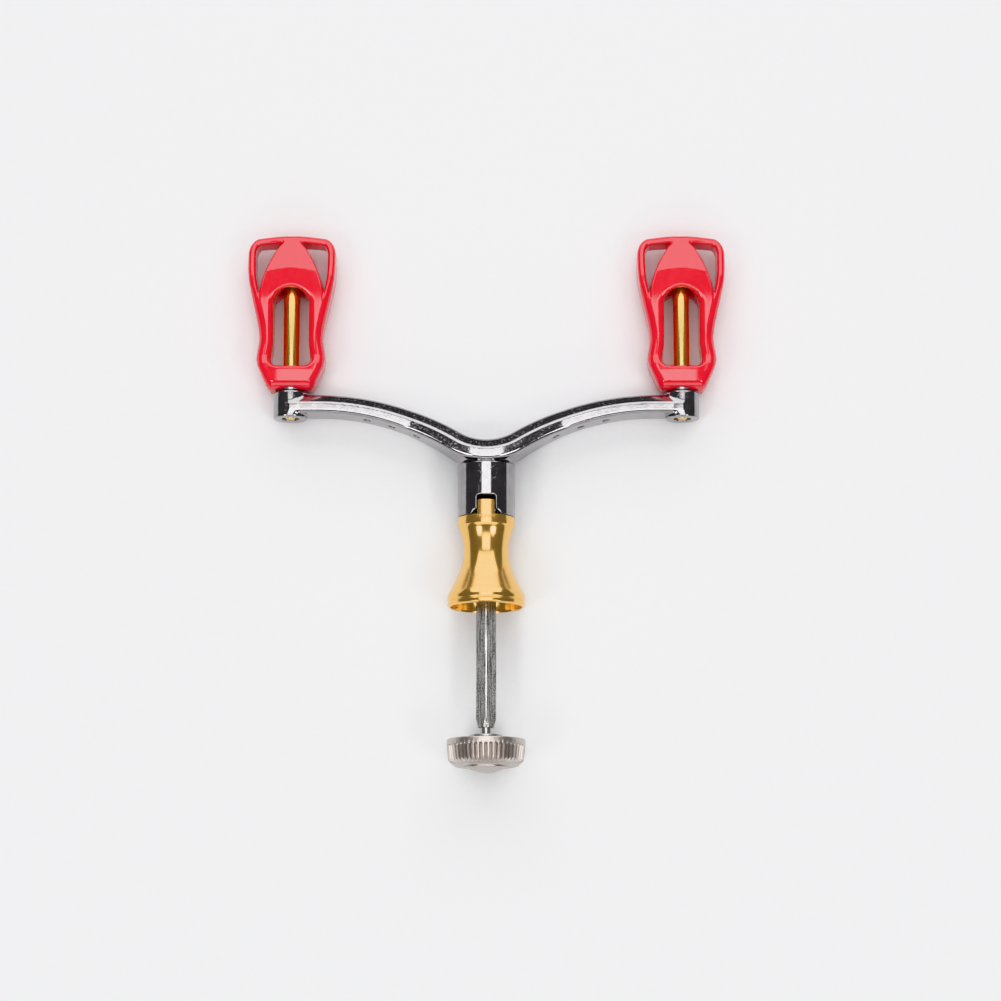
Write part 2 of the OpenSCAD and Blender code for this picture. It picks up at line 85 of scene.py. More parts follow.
# ---- sizes and colours ----


def length(name, description, millimetres):
    """A length that the sidebar shows and edits, with its default in millimetres."""
    default = millimetres * MM
    return FloatProperty(name=name, description=description, default=default, unit="LENGTH", precision=5)


def colour(name, description, code):
    """A colour that the sidebar shows and edits, as an sRGB hex value."""
    return StringProperty(name=name, description=description, default=code)


def millimetres(group):
    """The lengths of a property group in millimetres, by name."""
    names = [p.identifier for p in group.bl_rna.properties if p.identifier not in ("rna_type", "name")]
    return {n: round(getattr(group, n) / MM, 4) for n in names}


def cad_box(node):
    """Lowest and highest corner of a CAD node in millimetres."""
    low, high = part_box(node)
    return np.array(low) / MM, np.array(high) / MM


class CrankArmSizes(bpy.types.PropertyGroup):
    """Sizes of the arm's casting"""

    hub_diameter: length("Hub diameter", "Outer diameter of the hub", 14.3)
    hub_length: length("Hub length", "Length of the hub along the shank", 13.5)
    hub_chamfer: length("Hub chamfer", "Chamfer round the hub's upper end", 0.35)
    shoulder: length("Shoulder", "Height of the neck between the hub and the strap", 0.2)
    slot_width: length("Slot width", "Width of the slot through the hub", 4.56)
    slot_mouth: length("Slot mouth", "Width of the slot at its flared mouth", 6.9)
    slot_flare: length("Slot flare", "Height of the flare at the slot's mouth", 1.4)
    slot_height: length("Slot height", "Height of the slot over the hub's lower face", 4.75)
    saddle_radius: length("Saddle radius", "Radius of the bend at the arm's middle", 15)
    straight: length("Straight", "Straight length of the strap next to a barrel's axis", 7.25)
    strap_thickness: length("Strap thickness", "Thickness of the strap at the hub", 5.4)
    strap_end_thickness: length("Strap end thickness", "Thickness of the strap at a barrel", 4.8)
    strap_end_depth: length("Strap end depth", "Depth of the strap from front to back at a barrel", 8.5)
    barrel_diameter: length("Barrel diameter", "Outer diameter of a barrel", 8.6)
    barrel_length: length("Barrel length", "Length of a barrel", 6.7)
    taper_start: length("Taper start", "Distance from the middle at which the strap starts to taper", 3)
    taper_length: length("Taper length", "Length along which the strap's depth tapers", 16.7)
    tail_diameter: length("Tail diameter", "Diameter of a spindle's tail in its barrel", 3)
    rivet_diameter: length("Rivet diameter", "Diameter of the counterbore round a riveted tail", 4.3)
    rivet_depth: length("Rivet depth", "Depth of the counterbore round a riveted tail", 1.3)
    dimple_diameter: length("Dimple diameter", "Diameter of the lightening dimples under the strap", 1.8)
    dimple_depth: length("Dimple depth", "Depth of the lightening dimples under the strap", 1.2)
    edge_radius: length("Edge radius", "Radius that casting and polishing leave on the edges", 0.35)


class CrankKnobSizes(bpy.types.PropertyGroup):
    """Sizes of a knob's body"""

    end_width: length("End width", "Width of a knob's lower end", 10.4)
    foot_width: length("Foot width", "Width over the widest part of a knob's foot", 17.4)
    waist_width: length("Waist width", "Width over a knob's waist", 16)
    depth: length("Depth", "Thickness of a knob over its hood and foot", 10)
    rail_depth: length("Rail depth", "Thickness of a knob over its rails", 9)
    rim_depth: length("Rim depth", "Thickness of a knob at its top rim", 7.6)
    foot_length: length("Foot length", "Height of the solid foot below the long window", 5.9)
    hood_length: length("Hood length", "Height of the hood above the long window", 13.7)
    window_width: length("Window width", "Width of the long window", 9)
    bar_width: length("Bar width", "Width of the bars round the corner windows", 1.9)
    corner_width: length("Corner width", "Width of the rounding at the head's corners", 3.3)
    corner_height: length("Corner height", "Height of the rounding at the head's corners", 4.4)
    crown: length("Crown", "Rise of the head's top over its corners", 0.5)
    rail_radius: length("Rail radius", "Edge radius on the outside of the rails", 2.3)
    bearing_diameter: length("Bearing diameter", "Outer diameter of a knob bearing", 7)
    bearing_width: length("Bearing width", "Width of a knob bearing", 2.5)


class CrankTurnedSizes(bpy.types.PropertyGroup):
    """Sizes of the collar, the shank and the cap"""

    waist_diameter: length("Waist diameter", "Diameter of the collar's waist", 11.24)
    waist_drop: length("Waist drop", "Distance from the collar's head down to its waist", 8.1)
    head_band: length("Head band", "Length of the straight band under the collar's head", 2.5)
    head_step: length("Head step", "Step in radius from the collar's head band into the hollow curve", 0.35)
    rim_step: length("Rim step", "Step in radius from the rim's band into the flare", 0.16)
    rim_band: length("Rim band", "Length of the beaded band at the collar's rim", 3.1)
    flare_radius: length("Flare radius", "Radius of the curve from the waist into the flare", 15)
    bell_wall: length("Bell wall", "Wall of the bell", 0.95)
    bell_depth: length("Bell depth", "Depth of the hollow inside the bell", 11)
    guide_diameter: length("Guide diameter", "Outer diameter of the boss that guides the collar", 6.4)
    key_height: length("Key height", "Height of the keys on the collar's head", 3.6)
    key_width: length("Key width", "Width of a key", 4.16)
    key_thickness: length("Key thickness", "Thickness of a key, inwards from the head", 2.7)
    shank_flats: length("Shank flats", "Size of the shank's square across its flats", 3.88)
    shank_corners: length("Shank corners", "Diameter over the shank's turned corners", 4.95)
    shank_cone: length("Shank cone", "Length of the cone at the shank's end", 2.2)
    eye_diameter: length("Eye diameter", "Diameter of the eye round the fold pin", 4.9)
    slide_fit: length("Slide fit", "Radial clearance of the collar on the shank", 0.06)
    cap_band: length("Cap band", "Length of the plain band round the cap", 1.6)
    cap_taper: length("Cap taper", "How much the cap's radius shrinks along the flutes", 0.45)
    cap_nose: length("Cap nose", "How far the cap's end face is smaller in radius", 2)
    flute_depth: length("Flute depth", "Depth of the flutes round the cap", 0.8)


class CrankFinishes(bpy.types.PropertyGroup):
    """Colours of the finishes"""

    black_nickel: colour("Black nickel", "Polished black nickel plate on the arm", "ABA8AA")
    gold: colour("Gold", "Bright gold anodised aluminium of the collar", "F2C67C")
    brass: colour("Brass", "Turned brass of the spindles", "F4CE84")
    bar_steel: colour("Bar steel", "Drawn steel of the shank", "B4B3B0")
    turned_steel: colour("Turned steel", "Turned steel of washers, screws and pin", "BEBDBD")
    bearing_steel: colour("Bearing steel", "Ground steel of rings and balls", "C8C9CB")
    champagne: colour("Champagne", "Champagne grey anodised aluminium of the cap", "CCC4BE")
    red: colour("Red", "Moulded gloss red of the knobs", "E62636")
    table: colour("Table", "White table under the handle", "EEEEEF")


class CrankCounts(bpy.types.PropertyGroup):
    """Numbers of repeated shapes"""

    flutes: IntProperty(name="Flutes", description="Flutes round the cap", default=48, min=12, max=90)
    dimples: IntProperty(name="Dimples", description="Dimples under each side of the strap", default=3, min=0)


# ---- distance fields: negative inside, in millimetres ----


def meet(a, b, radius):
    """What lies in both shapes, with its edges rounded to a radius."""
    outside = np.hypot(np.maximum(a + radius, 0), np.maximum(b + radius, 0))
    return np.minimum(np.maximum(a, b), -radius) + outside


def join(a, b, radius):
    """What lies in either shape, with a fillet of a radius between them."""
    return -meet(-a, -b, radius)


def ease(u):
    """Slow in and slow out, from 0 to 1."""
    u = np.clip(u, 0, 1)
    return u * u * (3 - 2 * u)


def between(u, start, end):
    """A value that eases from start to end as u goes from 0 to 1."""
    return start + (end - start) * ease(u)


def outline_distance(u, v, corners):
    """Distance from points (u, v) to a closed outline, negative inside it."""
    nearest = np.full(np.shape(u), np.inf)
    inside = np.zeros(np.shape(u), bool)
    for (au, av), (bu, bv) in zip(corners, corners[1:] + corners[:1]):
        eu, ev = bu - au, bv - av
        wu, wv = u - au, v - av
        share = np.clip((wu * eu + wv * ev) / (eu * eu + ev * ev), 0, 1)
        nearest = np.minimum(nearest, (wu - eu * share) ** 2 + (wv - ev * share) ** 2)
        if ev != 0:
            inside ^= ((av <= v) != (bv <= v)) & (wu < eu * wv / ev)
    return np.where(inside, -1, 1) * np.sqrt(nearest)


def gradient(field, points, reach=0.02):
    """Slope of a field at points, from four samples round each."""
    total = np.zeros_like(points)
    for corner in ((1, -1, -1), (-1, -1, 1), (-1, 1, -1), (1, 1, 1)):
        corner = np.array(corner, float)
        total += corner * field(points + reach * corner)[:, None]
    return total / (4 * reach)


def skin(field, low, high, step):
    """Points, faces and normals of a field's surface, with one point in each grid cell that it crosses."""
    margin = 2.37 * step
    low, high = np.array(low, float) - margin, np.array(high, float) + margin
    counts = np.ceil((high - low) / step).astype(int) + 1
    axes = [low[i] + step * np.arange(counts[i]) for i in range(3)]
    grid = np.stack([g.ravel() for g in np.meshgrid(*axes, indexing="ij")], 1)
    values = field(grid).reshape(counts)
    cells = counts - 1
    sums = np.zeros((4, cells.prod()))
    quads = []
    for a in range(3):
        b, c = (a + 1) % 3, (a + 2) % 3
        first = np.moveaxis(values, a, 0)[:-1]
        second = np.moveaxis(values, a, 0)[1:]
        crossed = np.nonzero((first < 0) != (second < 0))
        start, end = first[crossed], second[crossed]
        index = np.zeros((len(start), 3), int)
        order = [a] + [i for i in range(3) if i != a]
        for place, axis in enumerate(order):
            index[:, axis] = crossed[place]
        where = low + step * index
        where[:, a] += step * start / (start - end)
        loop = []
        for shift_b, shift_c in ((0, 0), (-1, 0), (-1, -1), (0, -1)):
            cell = index.copy()
            cell[:, b] += shift_b
            cell[:, c] += shift_c
            flat = np.ravel_multi_index(cell.T, cells)
            loop.append(flat)
            for row in range(3):
                sums[row] += np.bincount(flat, where[:, row], cells.prod())
            sums[3] += np.bincount(flat, minlength=cells.prod())
        loop = np.stack(loop, 1)
        quads.append(np.where((start < 0)[:, None], loop, loop[:, ::-1]))
    used = np.nonzero(sums[3])[0]
    number = np.zeros(cells.prod(), int)
    number[used] = np.arange(len(used))
    points = (sums[:3, used] / sums[3, used]).T
    for _ in range(3):
        slope = gradient(field, points)
        push = field(points) / np.maximum((slope**2).sum(1), 0.05)
        points = points - np.clip(push, -step / 2, step / 2)[:, None] * slope
    slope = gradient(field, points)
    normals = slope / np.maximum(np.linalg.norm(slope, axis=1), 1e-9)[:, None]
    return points, number[np.concatenate(quads)].tolist(), normals


# ---- turned shapes ----


def filleted(corners, arc_steps=4):
    """A closed outline from (radius, y, fillet) corners, with an arc at each corner that has a fillet."""
    outline = []
    count = len(corners)
    for i, (u, v, fillet) in enumerate(corners):
        here = np.array((u, v), float)
        if fillet == 0:
            outline.append(tuple(here))
            continue
        before = np.array(corners[i - 1][:2], float) - here
        after = np.array(corners[(i + 1) % count][:2], float) - here
        before_length, after_length = np.linalg.norm(before), np.linalg.norm(after)
        before, after = before / before_length, after / after_length
        half = math.acos(np.clip(before @ after, -1, 1)) / 2
        reach = min(fillet / math.tan(half), before_length * 0.49, after_length * 0.49)
        radius = reach * math.tan(half)
        middle = here + (before + after) / np.linalg.norm(before + after) * radius / math.sin(half)
        start, end = here + before * reach - middle, here + after * reach - middle
        turn = math.atan2(start[0] * end[1] - start[1] * end[0], start @ end)
        for k in range(arc_steps + 1):
            angle = turn * k / arc_steps
            rotated = (
                start[0] * math.cos(angle) - start[1] * math.sin(angle),
                start[0] * math.sin(angle) + start[1] * math.cos(angle),
            )
            outline.append(tuple(middle + rotated))
    return outline


def turned(outline, steps=96, shape=None):
    """Points and faces of a closed (radius, y) outline turned about Y.

    shape(radius, y, angle), if given, changes the radius.
    """
    points, rings, faces = [], [], []
    for radius, y in outline:
        if radius < 1e-6:
            rings.append([len(points)])
            points.append((0.0, y, 0.0))
            continue
        rings.append(list(range(len(points), len(points) + steps)))
        for k in range(steps):
            angle = 2 * math.pi * k / steps
            r = shape(radius, y, angle) if shape else radius
            points.append((r * math.sin(angle), y, r * math.cos(angle)))
    for one, two in zip(rings, rings[1:] + rings[:1]):
        if len(one) == 1 and len(two) == 1:
            continue
        for k in range(steps):
            n = (k + 1) % steps
            if len(one) == 1:
                faces.append((one[0], two[n], two[k]))
            elif len(two) == 1:
                faces.append((one[k], one[n], two[0]))
            else:
                faces.append((one[k], one[n], two[n], two[k]))
    return points, faces


# ---- pieces ----


def new_mesh_object(name, points, faces, normals=None, sharp_angle=35):
    """A smooth mesh object from points in millimetres, with the given normals or sharp edges by angle."""
    mesh = bpy.data.meshes.new(name)
    mesh.from_pydata((np.asarray(points, float) * MM).tolist(), [], faces)
    if normals is None:
        work = bmesh.new()
        work.from_mesh(mesh)
        bmesh.ops.recalc_face_normals(work, faces=work.faces)
        work.to_mesh(mesh)
        work.free()
    mesh.shade_smooth()
    if normals is None:
        mesh.set_sharp_from_angle(angle=math.radians(sharp_angle))
    else:
        mesh.normals_split_custom_set_from_vertices(normals.tolist())
    piece = bpy.data.objects.new(name, mesh)
    bpy.context.scene.collection.objects.link(piece)
    return piece


def body_of(node):
    """The CAD body that a node belongs to."""
    bodies = frame["record"]["behaviour"]["bodies"]
    return next(body for body, nodes in bodies.items() if node in nodes)


def stand_in(piece, node, material):
    """Puts a piece in a CAD node's place, with its material."""
    piece.data.materials.append(material)
    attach(piece, body_of(node))
    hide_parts(node)


def finish_cad_node(node, material, sharp_angle=30):
    """Keeps a CAD node and gives it its material."""
    piece = frame["nodes"][node]
    piece.data.materials.clear()
    piece.data.materials.append(material)
    piece.data.shade_smooth()
    piece.data.set_sharp_from_angle(angle=math.radians(sharp_angle))


# ---- materials ----


def linear(code):
    """Linear colour with alpha from an sRGB hex value."""
    channels = [int(code[i : i + 2], 16) / 255 for i in (0, 2, 4)]
    return tuple(c / 12.92 if c <= 0.04045 else ((c + 0.055) / 1.055) ** 2.4 for c in channels) + (1.0,)


def add_node(tree, kind, inputs=None, **settings):
    """Adds a shader node. Inputs are values or other nodes' outputs, and settings are its attributes."""
    node = tree.nodes.new("ShaderNode" + kind)
    for name, value in settings.items():
        setattr(node, name, value)
    for name, value in (inputs or {}).items():
        if isinstance(value, bpy.types.NodeSocket):
            tree.links.new(value, node.inputs[name])
        else:
            node.inputs[name].default_value = value
    return node


def new_material(name):
    """An empty material, its node tree and object coordinates with one unit to the millimetre."""
    material = bpy.data.materials.new(name)
    material.use_nodes = True
    tree = material.node_tree
    tree.nodes.clear()
    place = add_node(tree, "TexCoord")
    scaled = add_node(tree, "VectorMath", {0: place.outputs["Object"], "Scale": 1 / MM}, operation="SCALE")
    return material, tree, scaled.outputs[0]


def stretched(tree, coordinates, factors):
    """Coordinates scaled by a factor on each axis."""
    return add_node(tree, "VectorMath", {0: coordinates, 1: factors}, operation="MULTIPLY").outputs[0]


def noise(tree, coordinates, grain, detail=2.0, roughness=0.5):
    """Noise with grains of about the given size in millimetres."""
    inputs = {"Vector": coordinates, "Scale": 1 / grain, "Detail": detail, "Roughness": roughness}
    return add_node(tree, "TexNoise", inputs).outputs["Fac"]


def spread(tree, value, low, high, start=0.3, end=0.7):
    """A value mapped from the range start to end onto the range low to high."""
    inputs = {"Value": value, "From Min": start, "From Max": end, "To Min": low, "To Max": high}
    return add_node(tree, "MapRange", inputs).outputs["Result"]


def tinted(tree, value, dark, light):
    """A colour between two hex colours, chosen by a value."""
    ramp = add_node(tree, "ValToRGB", {"Fac": value})
    ramp.color_ramp.elements[0].position = 0.3
    ramp.color_ramp.elements[0].color = linear(dark)
    ramp.color_ramp.elements[1].position = 0.7
    ramp.color_ramp.elements[1].color = linear(light)
    return ramp.outputs["Color"]


def shade(code, factor):
    """A hex colour made darker or lighter by a factor."""
    return "".join(f"{min(255, round(int(code[i : i + 2], 16) * factor)):02X}" for i in (0, 2, 4))


def bumped(tree, height, microns, under=None):
    """A normal from a height that spans the given number of thousandths of a millimetre."""
    inputs = {"Height": height, "Distance": microns * 1e-6, "Strength": 1.0}
    if under is not None:
        inputs["Normal"] = under
    return add_node(tree, "Bump", inputs).outputs["Normal"]


def surface(tree, inputs):
    """Ends a material in a principled shader with the given inputs."""
    shader = add_node(tree, "BsdfPrincipled", inputs)
    add_node(tree, "OutputMaterial", {"Surface": shader.outputs["BSDF"]})


def black_nickel_plate(finishes):
    """Black nickel plate on polished die cast zinc: a dark mirror, a little wavy, with a few casting pits."""
    material, tree, place = new_material("black_nickel_plate")
    waves = bumped(tree, noise(tree, place, 1.6, 1.0), 3)
    peel = bumped(tree, noise(tree, place, 0.3, 2.0), 1.8, waves)
    pits = spread(tree, noise(tree, place, 0.5, 0.0), 0.0, 1.0, 0.27, 0.33)
    clouds = noise(tree, place, 2.5)
    inputs = {
        "Base Color": tinted(tree, clouds, shade(finishes.black_nickel, 0.92), finishes.black_nickel),
        "Metallic": 1.0,
        "Roughness": spread(tree, noise(tree, place, 0.7, 3.0), 0.06, 0.13),
        "Normal": bumped(tree, pits, 6, peel),
    }
    surface(tree, inputs)
    return material


def gold_anodised_aluminium(finishes):
    """Turned aluminium, polished and anodised gold: a bright mirror with faint turning rings, whose dyed
    oxide scatters a little light."""
    material, tree, place = new_material("gold_anodised_aluminium")
    rings = noise(tree, stretched(tree, place, (0.02, 1.0, 0.02)), 0.3, 2.0)
    inputs = {
        "Base Color": tinted(tree, rings, shade(finishes.gold, 0.97), finishes.gold),
        "Metallic": 0.93,
        "Roughness": spread(tree, noise(tree, place, 0.6, 2.0), 0.15, 0.2),
        "Normal": bumped(tree, rings, 0.9),
    }
    surface(tree, inputs)
    return material


def turned_brass(finishes):
    """Brass bar as it left the lathe: rings of tool marks, satin, a little uneven in colour."""
    material, tree, place = new_material("turned_brass")
    rings = noise(tree, stretched(tree, place, (0.05, 1.0, 0.05)), 0.35, 3.0)
    grain = noise(tree, place, 0.3, 2.0)
    inputs = {
        "Base Color": tinted(tree, grain, shade(finishes.brass, 0.93), finishes.brass),
        "Metallic": 1.0,
        "Roughness": spread(tree, grain, 0.2, 0.26),
        "Normal": bumped(tree, rings, 0.4),
    }
    surface(tree, inputs)
    return material


def drawn_steel(finishes):
    """Cold drawn steel bar: satin, with streaks along its length and a fine speckle."""
    material, tree, place = new_material("drawn_steel")
    streaks = noise(tree, stretched(tree, place, (1.0, 0.04, 1.0)), 0.25, 2.0)
    speckle = noise(tree, place, 0.22, 1.0)
    parts = {0: spread(tree, streaks, 0, 0.6), 1: spread(tree, speckle, 0, 0.4)}
    mixed = add_node(tree, "Math", parts).outputs[0]
    inputs = {
        "Base Color": tinted(tree, mixed, shade(finishes.bar_steel, 0.62), shade(finishes.bar_steel, 1.2)),
        "Metallic": 1.0,
        "Roughness": spread(tree, speckle, 0.24, 0.36),
        "Normal": bumped(tree, speckle, 22, bumped(tree, streaks, 16)),
    }
    surface(tree, inputs)
    return material


def turned_steel(finishes):
    """Turned steel, zinc plated: satin grey with tool rings."""
    material, tree, place = new_material("turned_steel")
    grain = noise(tree, place, 0.25, 2.0)
    inputs = {
        "Base Color": tinted(tree, grain, shade(finishes.turned_steel, 0.9), finishes.turned_steel),
        "Metallic": 1.0,
        "Roughness": spread(tree, grain, 0.25, 0.36),
        "Normal": bumped(tree, grain, 3),
    }
    surface(tree, inputs)
    return material


def ground_bearing_steel(finishes):
    """Ground and lapped bearing steel: bright, with the finest grinding marks."""
    material, tree, place = new_material("ground_bearing_steel")
    marks = noise(tree, stretched(tree, place, (0.1, 1.0, 0.1)), 0.2, 1.0)
    inputs = {
        "Base Color": tinted(tree, marks, shade(finishes.bearing_steel, 0.95), finishes.bearing_steel),
        "Metallic": 1.0,
        "Roughness": spread(tree, marks, 0.12, 0.2),
        "Normal": bumped(tree, marks, 1),
    }
    surface(tree, inputs)
    return material


def champagne_anodised_aluminium(finishes):
    """Blasted and anodised aluminium in champagne grey: satin with a fine grain."""
    material, tree, place = new_material("champagne_anodised_aluminium")
    grain = noise(tree, place, 0.25, 2.0)
    inputs = {
        "Base Color": tinted(tree, grain, shade(finishes.champagne, 0.88), finishes.champagne),
        "Metallic": 1.0,
        "Roughness": spread(tree, grain, 0.33, 0.4),
        "Normal": bumped(tree, grain, 2),
    }
    surface(tree, inputs)
    return material


def moulded_gloss_red(finishes):
    """Injection moulded plastic under gloss lacquer: an even red with a wet, faintly wavy shine."""
    material, tree, place = new_material("moulded_gloss_red")
    waves = bumped(tree, noise(tree, place, 3.0, 1.0), 8)
    inputs = {
        "Base Color": tinted(tree, noise(tree, place, 4.0), shade(finishes.red, 0.95), finishes.red),
        "Metallic": 0.0,
        "IOR": 1.8,
        "Roughness": spread(tree, noise(tree, place, 0.8, 3.0), 0.07, 0.14),
        "Normal": bumped(tree, noise(tree, place, 0.4, 1.0), 0.6, waves),
    }
    surface(tree, inputs)
    return material


def white_table(finishes):
    """Painted white board: matt, with the faintest grain."""
    material, tree, place = new_material("white_table")
    grain = noise(tree, place, 1.5, 2.0)
    inputs = {
        "Base Color": tinted(tree, grain, shade(finishes.table, 0.99), finishes.table),
        "Roughness": 0.75,
        "Normal": bumped(tree, grain, 5),
    }
    surface(tree, inputs)
    return material


def finish(maker):
    """The material that a maker function makes, made only once."""
    found = bpy.data.materials.get(maker.__name__)
    return found or maker(bpy.context.scene.crank_finishes)


# ---- arm ----


def arm_sizes():
    """The arm's sizes with the places that the CAD model gives."""
    s = SimpleNamespace(**millimetres(bpy.context.scene.crank_arm))
    arm_low, arm_high = cad_box("handle_arm")
    pin_low, pin_high = cad_box("fold_pin")
    knob_low, knob_high = cad_box("knob_right")
    s.low, s.high = arm_low, arm_high
    s.hub_y = arm_low[1]
    s.hub_top = s.hub_y + s.hub_length
    s.middle_y = s.hub_top + s.shoulder + s.strap_thickness / 2
    s.barrel_x = (knob_low[0] + knob_high[0]) / 2
    s.barrel_top = cad_box("thrust_washer_right")[0][1]
    s.barrel_y = s.barrel_top - s.barrel_length
    s.end_y = s.barrel_top - s.barrel_length / 2
    s.pin_y = (pin_low[1] + pin_high[1]) / 2
    s.pin_r = (pin_high[1] - pin_low[1]) / 2
    s.run = s.barrel_x - s.straight
    s.bend = 2 * math.atan((s.end_y - s.middle_y) / s.run)
    s.outer_radius = s.run / math.sin(s.bend) - s.saddle_radius
    return s


def strap_distance(s, x, y, z):
    """Strap of the arm along a saddle, an arc and a straight, bevelled over its top and flat in front."""
    saddle_y = s.middle_y + s.saddle_radius
    outer_y = s.end_y - s.outer_radius
    saddle_angle = np.arctan2(x, saddle_y - y)
    outer_angle = np.arctan2(s.run - x, y - outer_y)
    on_saddle = saddle_angle < s.bend
    on_straight = x > s.run
    rise = np.where(on_straight, y - s.end_y, np.hypot(x - s.run, y - outer_y) - s.outer_radius)
    rise = np.where(on_saddle, s.saddle_radius - np.hypot(x, y - saddle_y), rise)
    station = np.where(on_straight, x, s.run - s.outer_radius * np.sin(outer_angle))
    station = np.where(on_saddle, s.saddle_radius * np.sin(saddle_angle), station)
    half_thick = between(station / s.run, s.strap_thickness, s.strap_end_thickness) / 2
    way = (x - s.taper_start) / s.taper_length
    softness = 0.07
    taper = (1 + np.hypot(way, softness) - np.hypot(way - 1, softness)) / 2
    full_depth = s.hub_diameter + 0.2
    half_deep = (full_depth + (s.strap_end_depth - full_depth) * taper) / 2
    face = np.abs(z) - half_deep
    bevel_angle = math.radians(35)
    bevel_start = 0.06 * half_thick
    bevel = (rise - bevel_start) * math.sin(bevel_angle) + face * math.cos(bevel_angle)
    bevel_edge, top_edge, under_edge = 0.2, 0.5, 0.9
    section = meet(face, bevel, bevel_edge)
    section = meet(section, rise - half_thick, top_edge)
    section = meet(section, -rise - half_thick, under_edge)
    return np.maximum(section, x - s.barrel_x)


def hub_distance(s, x, y, z):
    """Hub of the arm: a turned cylinder with a chamfer and a narrow neck under the strap."""
    r, chamfer = s.hub_diameter / 2, s.hub_chamfer
    neck = r - 1.5 * chamfer
    corners = [
        (-r, s.hub_y, 0), (r, s.hub_y, s.edge_radius / 2), (r, s.hub_top - chamfer, 0.1),
        (r - chamfer, s.hub_top, 0.1), (neck, s.hub_top + s.shoulder, 0), (neck, s.middle_y, 0),
        (-r, s.middle_y, 0),
    ]
    return outline_distance(np.hypot(x, z), y, filleted(corners, 3))


def slot_distance(s, x, y):
    """Slot through the hub, from front to back, with a flared mouth."""
    half, mouth = s.slot_width / 2, s.slot_mouth / 2
    below, top, corner = s.hub_y - 3, s.hub_y + s.slot_height, 0.4
    corners = [
        (-1.0, below), (mouth, below), (mouth, s.hub_y + s.slot_flare / 3), (half, s.hub_y + s.slot_flare),
        (half, top - corner), (half - corner, top), (-1.0, top),
    ]
    return outline_distance(x, y, corners)


def rod_distance(across, along, radius, start, end, edge=0.0):
    """A round bar, from the distance across its axis and the place along it."""
    return meet(across - radius, np.abs(along - (start + end) / 2) - (end - start) / 2, edge)


def dimple_distance(s, x, y, z, share):
    """A blind dimple in the strap's underside, square to the strap, at a share of the way to the barrel."""
    centre_x = share * s.barrel_x
    angle = math.asin((s.run - centre_x) / s.outer_radius)
    centre_y = s.end_y - s.outer_radius * (1 - math.cos(angle))
    along = (y - centre_y) * math.cos(angle) - (x - centre_x) * math.sin(angle)
    aside = (x - centre_x) * math.cos(angle) + (y - centre_y) * math.sin(angle)
    bottom = s.dimple_depth - s.strap_thickness / 2
    return rod_distance(np.hypot(aside, z), along, s.dimple_diameter / 2, -5, bottom, 0.2)


def arm_distance(s, counts, p):
    """The whole casting: strap, hub with a web that grows sideways, barrels, slot, bores and dimples."""
    x, y, z = np.abs(p[:, 0]), p[:, 1], p[:, 2]
    web = between((x - 3.2) / 3.6, 0.15, 2.35)
    body = join(strap_distance(s, x, y, z), hub_distance(s, x, y, z), web)
    across = np.hypot(x - s.barrel_x, z)
    barrel = rod_distance(across, y, s.barrel_diameter / 2, s.barrel_y, s.barrel_top, s.edge_radius)
    body = join(body, barrel, 0.5)
    body = meet(body, -slot_distance(s, x, y), s.edge_radius)
    below, above = s.barrel_y - 2, s.barrel_top + 2
    tail_bore = rod_distance(across, y, s.tail_diameter / 2, below, above)
    rivet_bore = rod_distance(across, y, s.rivet_diameter / 2, below, s.barrel_y + s.rivet_depth)
    body = meet(body, -np.minimum(tail_bore, rivet_bore), 0.25)
    first, pitch = 0.335, 0.1325
    for i in range(counts.dimples):
        body = meet(body, -dimple_distance(s, x, y, z, first + pitch * i), 0.2)
    pin_fit = 0.02
    pin = np.hypot(y - s.pin_y, z) - s.pin_r - pin_fit
    return meet(body, -pin, 0.1)


def make_arm():
    """The arm's casting, as one mesh."""
    s = arm_sizes()
    counts = bpy.context.scene.crank_counts
    grid = 0.24
    points, faces, normals = skin(lambda p: arm_distance(s, counts, p), s.low, s.high, grid)
    piece = new_mesh_object("arm_casting", points, faces, normals)
    stand_in(piece, "handle_arm", finish(black_nickel_plate))


def make_fold_pin():
    """The fold pin, with domed ends that sit just under the hub's surface."""
    low, high = cad_box("fold_pin")
    r = (high[1] - low[1]) / 2
    half = (high[0] - low[0]) / 2
    dome = 0.25
    end = [(0, -half, 0), (r * 0.6, -half, 0.3), (r, -half + dome, 0.2)]
    other_end = [(radius, -along, fillet) for radius, along, fillet in end[::-1]]
    points, faces = turned(filleted(end + other_end), 48)
    centre = (low[1] + high[1]) / 2
    points = [(y, centre + x, z) for x, y, z in points]
    stand_in(new_mesh_object("fold_pin_bar", points, faces), "fold_pin", finish(turned_steel))


# ---- shank ----


def turned_sizes():
    """The sizes of the turned pieces."""
    return SimpleNamespace(**millimetres(bpy.context.scene.crank_turned))


